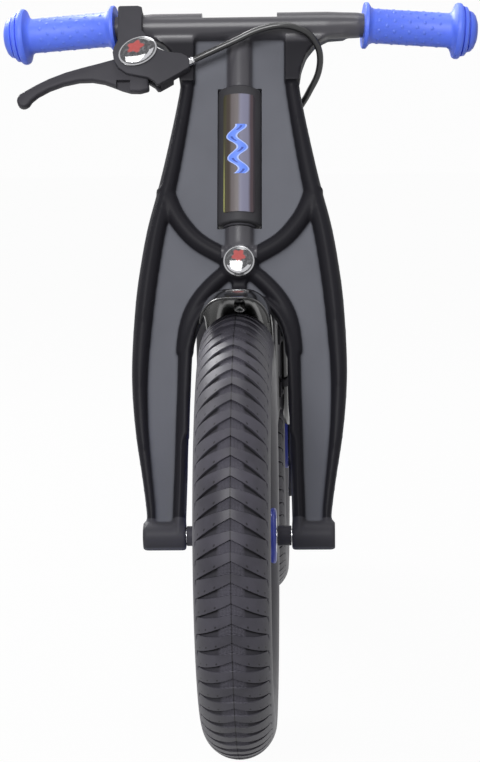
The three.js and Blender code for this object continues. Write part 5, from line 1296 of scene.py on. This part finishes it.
class BIKE_OT_cable(BikeOperator, bpy.types.Operator):
    """Brake cable from the lever over the shield, down behind it and along the frame, with its two clips"""

    bl_idname = "bike.cable"
    bl_label = "Brake cable"

    LOOP = [
        (-33.85, 359.8, 15.7), (-20.85, 365.8, 16.4), (-3.4, 373, 19), (14, 380.5, 21), (33, 383.7, 22),
        (49, 380.3, 18), (57.5, 373.5, 12), (60.5, 365, 5), (58.5, 354.5, -4), (51, 343, -14),
        (40, 328, -32), (31.8, 297.1, -66.6), (28.8, 262.7, -106.8),
    ]
    BESIDE_BEAM = [(28.8, 0.16, 0.3), (28.8, 0.33, 0.578), (28.8, 0.472, 0.822), (29.8, 0.623, 0.939),
        (32.8, 0.811, 0.961)]
    DIVE = (39.8, 130, 185)
    TO_STOP = [(41, 165, 163), (39, 190, 133), (36, 210, 110), (34.1, 222, 104.5), (34.1, 228.7, 104)]

    def make(self, context):
        route = self.route()
        line = [tuple(value / MM for value in point) for point in route]
        cable = piped("brake_cable_casing", line, 2.5, sides=5)
        soft_shaded(cable)
        cable.data.materials.clear()
        cable.data.materials.append(finish("cable"))
        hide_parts("brake_cable")
        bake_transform(cable)
        for share, name in ((13.5, "upper"), (14.5, "lower")):
            self.clip(route, share, name)

    def route(self):
        points = [STEERING @ (Vector(point) * MM) for point in self.LOOP]
        top, dive = points[-1], Vector(self.DIVE) * MM
        for across, back, down in self.BESIDE_BEAM:
            points.append(Vector((across * MM, top.y + (dive.y - top.y) * back,
                top.z + (dive.z - top.z) * down)))
        points += [dive, *(Vector(point) * MM for point in self.TO_STOP)]
        return [Vector(point) for point in flowing(points, 8)]

    def clip(self, route, share, name):
        index = round(share * 8)
        spot, way = route[index], (route[index + 1] - route[index - 1]).normalized()
        place = Matrix.Translation(spot) @ Vector((0, 0, 1)).rotation_difference(way).to_matrix().to_4x4()
        ring = turned("clip_ring", [(-4, 2.65), (-4, 4.1), (-3.6, 4.5), (3.6, 4.5), (4, 4.1), (4, 2.65)],
            40, place, ring=True)
        beside = Matrix.Translation((0, spot.y, spot.z))
        tab = eased(block("clip_tab", (24.3, -4, -14), (26.4, 4, -1), beside), 0.6, 2)
        screw = turned("clip_screw", [(26.2, 2.6), (27.2, 2.4), (27.8, 1.4)], 32,
            beside @ Matrix.Translation((0, 0, -9.5 * MM)) @ ALONG_X)
        piece = joined(f"cable_clip_{name}_moulding", ring, tab, screw)
        finished(piece, "frame", [f"cable_clip_{name}"], finish("satin"))


class BIKE_OT_drum_brake(BikeOperator, bpy.types.Operator):
    """Rear brake: backing plate, shoes with linings, cam with its arm, anchor pin and cable stop"""

    bl_idname = "bike.drum_brake"
    bl_label = "Drum brake"

    PLATE = [
        (27.4, 5.4), (27.4, 40.8), (28.2, 41.8), (29.6, 41.8), (30.3, 41), (30.3, 37.6), (29.4, 36.8),
        (29.4, 20), (30.3, 19), (30.3, 5.4),
    ]

    def make(self, context):
        across = REAR_AXLE @ ALONG_X
        disc = turned("brake_disc", self.PLATE, 96, across, ring=True)
        tab = cut_sheet("cable_tab", [
            (-20, -33), (-42, -48), (-51.4, -52.6), (-52, -54), (-52, -60.4), (-51, -61), (-39, -61),
            (-38, -60), (-34, -54), (-18, -42), (-8, -37),
        ], 27.5, 30.2, REAR_AXLE @ SIDE_VIEW)
        eased(tab, 0.5, 2, 50)
        stud = turned("torque_stud", [(28, 4), (37.1, 4), (37.6, 3.5)], 32,
                      REAR_AXLE @ Matrix.Translation((0, -20 * MM, 5 * MM)) @ ALONG_X)
        plate = fused("brake_plate_steel", disc, tab, stud)
        holes = [
            ("cam_hole", 4.3, 32, 0, -29), ("pin_hole", 3.1, 32, 0, 29), ("stop_hole", 2.1, 24, -45, -56)]
        for label, radius, sides, back, up in holes:
            place = REAR_AXLE @ Matrix.Translation((0, back * MM, up * MM)) @ ALONG_X
            carved(plate, turned(label, [(20, radius), (40, radius)], sides, place))
        finished(plate, "frame", ["brake_plate"], finish("black_steel"))
        for name, way in (("rear", 1), ("front", -1)):
            self.shoe(name, way)
        pin = turned("shoe_anchor_pin_steel", [(12.6, 2.6), (13, 3), (30.1, 3), (30.5, 2.6)], 32,
                     REAR_AXLE @ Matrix.Translation((0, 0, 29 * MM)) @ ALONG_X)
        finished(pin, "frame", ["shoe_anchor_pin"], finish("steel"))
        self.cam()
        self.stop()

    def shoe(self, name, way):
        arc = lambda radius, start, end: [
            (way * radius * math.cos(math.radians(turn)), radius * math.sin(math.radians(turn)))
            for turn in range(start, end, 4 if end > start else -4)
        ]
        web = cut_sheet("shoe_web", arc(33.4, -78, 81) + arc(24.6, 78, -79), 12.7, 26.3,
            REAR_AXLE @ SIDE_VIEW)
        lining = cut_sheet("shoe_lining", arc(36.2, -62, 63) + arc(33.6, 62, -63), 12.7, 26.3,
            REAR_AXLE @ SIDE_VIEW)
        shoe = joined(f"brake_shoe_{name}_lined", eased(web, 0.6, 2, 50), eased(lining, 0.4, 2, 50))
        finished(shoe, f"shoe_{name}", [f"brake_shoe_{name}"], finish("lining"))

    def cam(self):
        place = REAR_AXLE @ Matrix.Translation((0, 0, -29 * MM)) @ ALONG_X
        shaft = turned("cam_shaft", [(20, 3.9), (33, 3.9), (33, 6.4), (33.6, 6.4), (34, 5.9), (34, 2.4),
            (33.5, 1.8)], 40, place)
        hub = turned("cam_hub", [(31.2, 6.1), (31.5, 6.4), (33.4, 6.4), (33.7, 6.1)], 40, place)
        cam = block("cam", (12.7, -2.9, -33.9), (26.4, 2.9, -24.1), REAR_AXLE)
        eased(cam, 1.4, 3)
        arm = cut_sheet("cam_arm", [
            (-5, -29), (-4.6, -45), (-4.2, -54), (-3, -57), (0, -57.9), (3, -57), (4.2, -54), (4.6, -45),
            (5, -29), (3, -25), (-3, -25),
        ], 31.3, 33.9, REAR_AXLE @ SIDE_VIEW)
        eased(arm, 0.5, 2, 50)
        carved(arm, turned("wire_hole", [(25, 1.6), (40, 1.6)], 24,
            REAR_AXLE @ Matrix.Translation((0, 0, -53.5 * MM)) @ ALONG_X))
        piece = joined("brake_cam_arm_steel", shaft, hub, cam, arm)
        finished(piece, "cam", ["brake_cam_arm"], finish("steel"))

    def stop(self):
        place = REAR_AXLE @ Matrix.Translation((34.1 * MM, -45 * MM, -56 * MM))
        barrel = turned("stop_barrel", [
            (-6, 1.1), (-6, 2.8), (-5.5, 3.3), (1.5, 3.3), (1.7, 2.9), (2.3, 2.9), (2.5, 3.3), (5.5, 3.3),
            (6, 2.8), (6, 1.1),
        ], 36, place @ Matrix.Rotation(-math.pi / 2, 4, "X"), ring=True)
        stud = turned("stop_stud", [(-7, 1.9), (-0.2, 1.9)], 24, place @ ALONG_X)
        piece = joined("cable_stop_steel", barrel, stud)
        finished(piece, "frame", ["cable_stop"], finish("steel"))


class BIKE_OT_saddle(BikeOperator, bpy.types.Operator):
    """Saddle with its padded top and shell, the seat post, and the clamp collar with its bolt"""

    bl_idname = "bike.saddle"
    bl_label = "Saddle and post"

    TOP = 393.6
    BASE = 366.6

    def make(self, context):
        self.shell()
        self.cushion(context)
        post = turned("seat_post_tube", [
            (-34, 9.4), (-34, 10.6), (-33.5, 11), (20, 11), (20.2, 10.8), (20.6, 10.8), (20.8, 11),
            (95.5, 11), (96, 10.6), (96, 9.4),
        ], 64, SEAT_BASE, ring=True)
        finished(post, "saddle", ["seat_post"], finish("black_steel"))
        self.collar()

    def outline(self, inset):
        nose, wide, length = 22 - inset, 57 - inset, 190.0
        front = 89.67 - length * 0.52 + inset
        back = front + length - 2 * inset
        half = [
            (nose * 0.7, front + 3), (nose, front + 18), (nose + 3, front + length * 0.38),
            (wide - 10, front + length * 0.62), (wide, front + length * 0.8), (wide * 0.72, back - 5),
        ]
        whole = [*half, (0, back), *[(-x, y) for x, y in reversed(half)], (0, front)]
        return flowing(whole, 8, loop=True)

    def shell(self):
        pan = cut_sheet("saddle_pan", self.outline(1.8), 359.5, 366.2)
        eased(pan, 2.2, 3, 50)
        socket = turned("saddle_socket", [(74, 11.2), (74, 14.2), (74.6, 14.8), (97, 14.8), (97, 11.2)], 64,
            SEAT_BASE, ring=True)
        ribs = [block("socket_rib", (-1.6, -16, 345), (1.6, -10, 361),
            Matrix.Translation((0, 89.67 * MM, 0)))]
        ribs.append(block("socket_rib", (-1.6, 8, 351), (1.6, 34, 361),
            Matrix.Translation((0, 89.67 * MM, 0))))
        carved(pan, turned("post_way", [(60, 11.3), (96.3, 11.3)], 48, SEAT_BASE))
        piece = joined("saddle_shell_moulding", pan, socket, *ribs)
        finished(piece, "saddle", ["saddle_shell"], finish("frame"), 45)

    def cushion(self, context):
        pad = cut_sheet("saddle_cushion_pad", self.outline(4.5), self.BASE + 1.5, self.TOP - 7)
        moulded(pad, 4.5, 6, 0.5)
        self.inflate(context, pad)
        for vertex in pad.data.vertices:
            spot = vertex.co / MM
            dip = 2.4 * math.exp(-((spot.y - 118) / 34) ** 2) * (1 - min(1.0, (spot.x / 50) ** 2))
            if spot.z > 377:
                spot.z -= dip * min(1.0, (spot.z - 377) / 10)
            spot.z = min(max(spot.z, self.BASE), self.TOP)
            vertex.co = spot * MM
        worked(pad, "SUBSURF", levels=1, render_levels=1)
        welt_line = [(x, y, self.BASE + 2.0) for x, y in self.outline(1.6)]
        welt = piped("welt", welt_line + welt_line[:1], 1.5, sides=3)
        piece = joined("saddle_cushion_pad", pad, welt)
        finished(piece, "saddle", ["saddle_cushion"], finish("vinyl"), 60)

    def inflate(self, context, pad):
        """Blows the pad up as cloth and keeps each point within 6 mm of where it was."""
        before = [vertex.co.copy() for vertex in pad.data.vertices]
        take(pad)
        bpy.ops.object.modifier_add(type="CLOTH")
        cloth = pad.modifiers[-1]
        cloth.settings.use_pressure = True
        cloth.settings.uniform_pressure_force = 4
        cloth.settings.effector_weights.gravity = 0
        cloth.point_cache.frame_start, cloth.point_cache.frame_end = 1, 20
        for step in range(1, 21):
            context.scene.frame_set(step)
        blown = pad.evaluated_get(context.evaluated_depsgraph_get())
        after = [vertex.co.copy() for vertex in blown.data.vertices]
        take(pad)
        bpy.ops.object.modifier_apply(modifier=cloth.name)
        context.scene.frame_set(1)
        for vertex, start, end in zip(pad.data.vertices, before, after):
            move = end - start
            vertex.co = start + move * min(1.0, 6 * MM / max(move.length, 1e-9))

    def collar(self):
        middle = 58.0
        ring = turned("collar_ring", [
            (51, 15.3), (51, 18.6), (51.6, 19.2), (64.4, 19.2), (65, 18.6), (65, 11.3), (62.4, 11.3),
            (62.4, 15.3),
        ], 72, SEAT_BASE, ring=True)
        ears = block("collar_ears", (-7, 16.8, middle - 6), (7, 29, middle + 6), SEAT_BASE)
        eased(ears, 1.6, 3)
        collar = fused("seat_clamp_collar_steel", ring, ears)
        bolt_place = SEAT_BASE @ Matrix.Translation((0, 24.1 * MM, middle * MM)) @ ALONG_X
        carved(
            collar,
            block("slit", (-1, 10, middle - 12), (1, 40, middle + 12), SEAT_BASE),
            turned("bolt_way", [(-20, 2.7), (20, 2.7)], 24, bolt_place),
        )
        finished(collar, "frame", ["seat_clamp_collar"], finish("black_steel"))
        bolt = turned("bolt", [(-11.2, 2.5), (7.3, 2.5), (7.3, 4), (7.6, 4.4), (11, 4.4), (11.7, 3.8)], 40,
            bolt_place)
        carved(bolt, turned("bolt_socket", [(9.4, 2.1), (14, 2.1)], 6, bolt_place))
        nut = turned("bolt_nut", [(-11, 4.2), (-10.6, 4.5), (-7.7, 4.5), (-7.3, 4.2)], 6, bolt_place)
        piece = joined("seat_clamp_bolt_steel", bolt, nut)
        finished(piece, "frame", ["seat_clamp_bolt"], finish("steel"))


CLASSES = [
    BikeSizes, BikeColours, BIKE_OT_stage, BIKE_OT_cable, BIKE_OT_fork_panel, BIKE_OT_grips,
    BIKE_OT_tyres, BIKE_OT_wheels, BIKE_OT_axles, BIKE_OT_inner_tubes, BIKE_OT_main_frame,
    BIKE_OT_badges, BIKE_OT_mudguard, BIKE_OT_brake_lever, BIKE_OT_drum_brake, BIKE_OT_saddle,
]


class BIKE_PT_panel(bpy.types.Panel):
    """Lists the pieces of the bike"""

    bl_label = "Balance bike"
    bl_idname = "BIKE_PT_panel"
    bl_space_type = "VIEW_3D"
    bl_region_type = "UI"
    bl_category = "Balance bike"

    def draw(self, context):
        for group in (context.scene.bike_sizes, context.scene.bike_colours):
            for key in group.__annotations__:
                self.layout.prop(group, key)
        for operator in CLASSES:
            if issubclass(operator, bpy.types.Operator):
                self.layout.operator(operator.bl_idname)


def register():
    for item in [*CLASSES, BIKE_PT_panel]:
        bpy.utils.register_class(item)
    bpy.types.Scene.bike_sizes = bpy.props.PointerProperty(type=BikeSizes)
    bpy.types.Scene.bike_colours = bpy.props.PointerProperty(type=BikeColours)


def unregister():
    del bpy.types.Scene.bike_colours
    del bpy.types.Scene.bike_sizes
    for item in reversed([*CLASSES, BIKE_PT_panel]):
        bpy.utils.unregister_class(item)


def main():
    register()
    for operator in CLASSES:
        if issubclass(operator, bpy.types.Operator):
            group, name = operator.bl_idname.split(".")
            getattr(getattr(bpy.ops, group), name)()


if __name__ == "__main__":
    main()
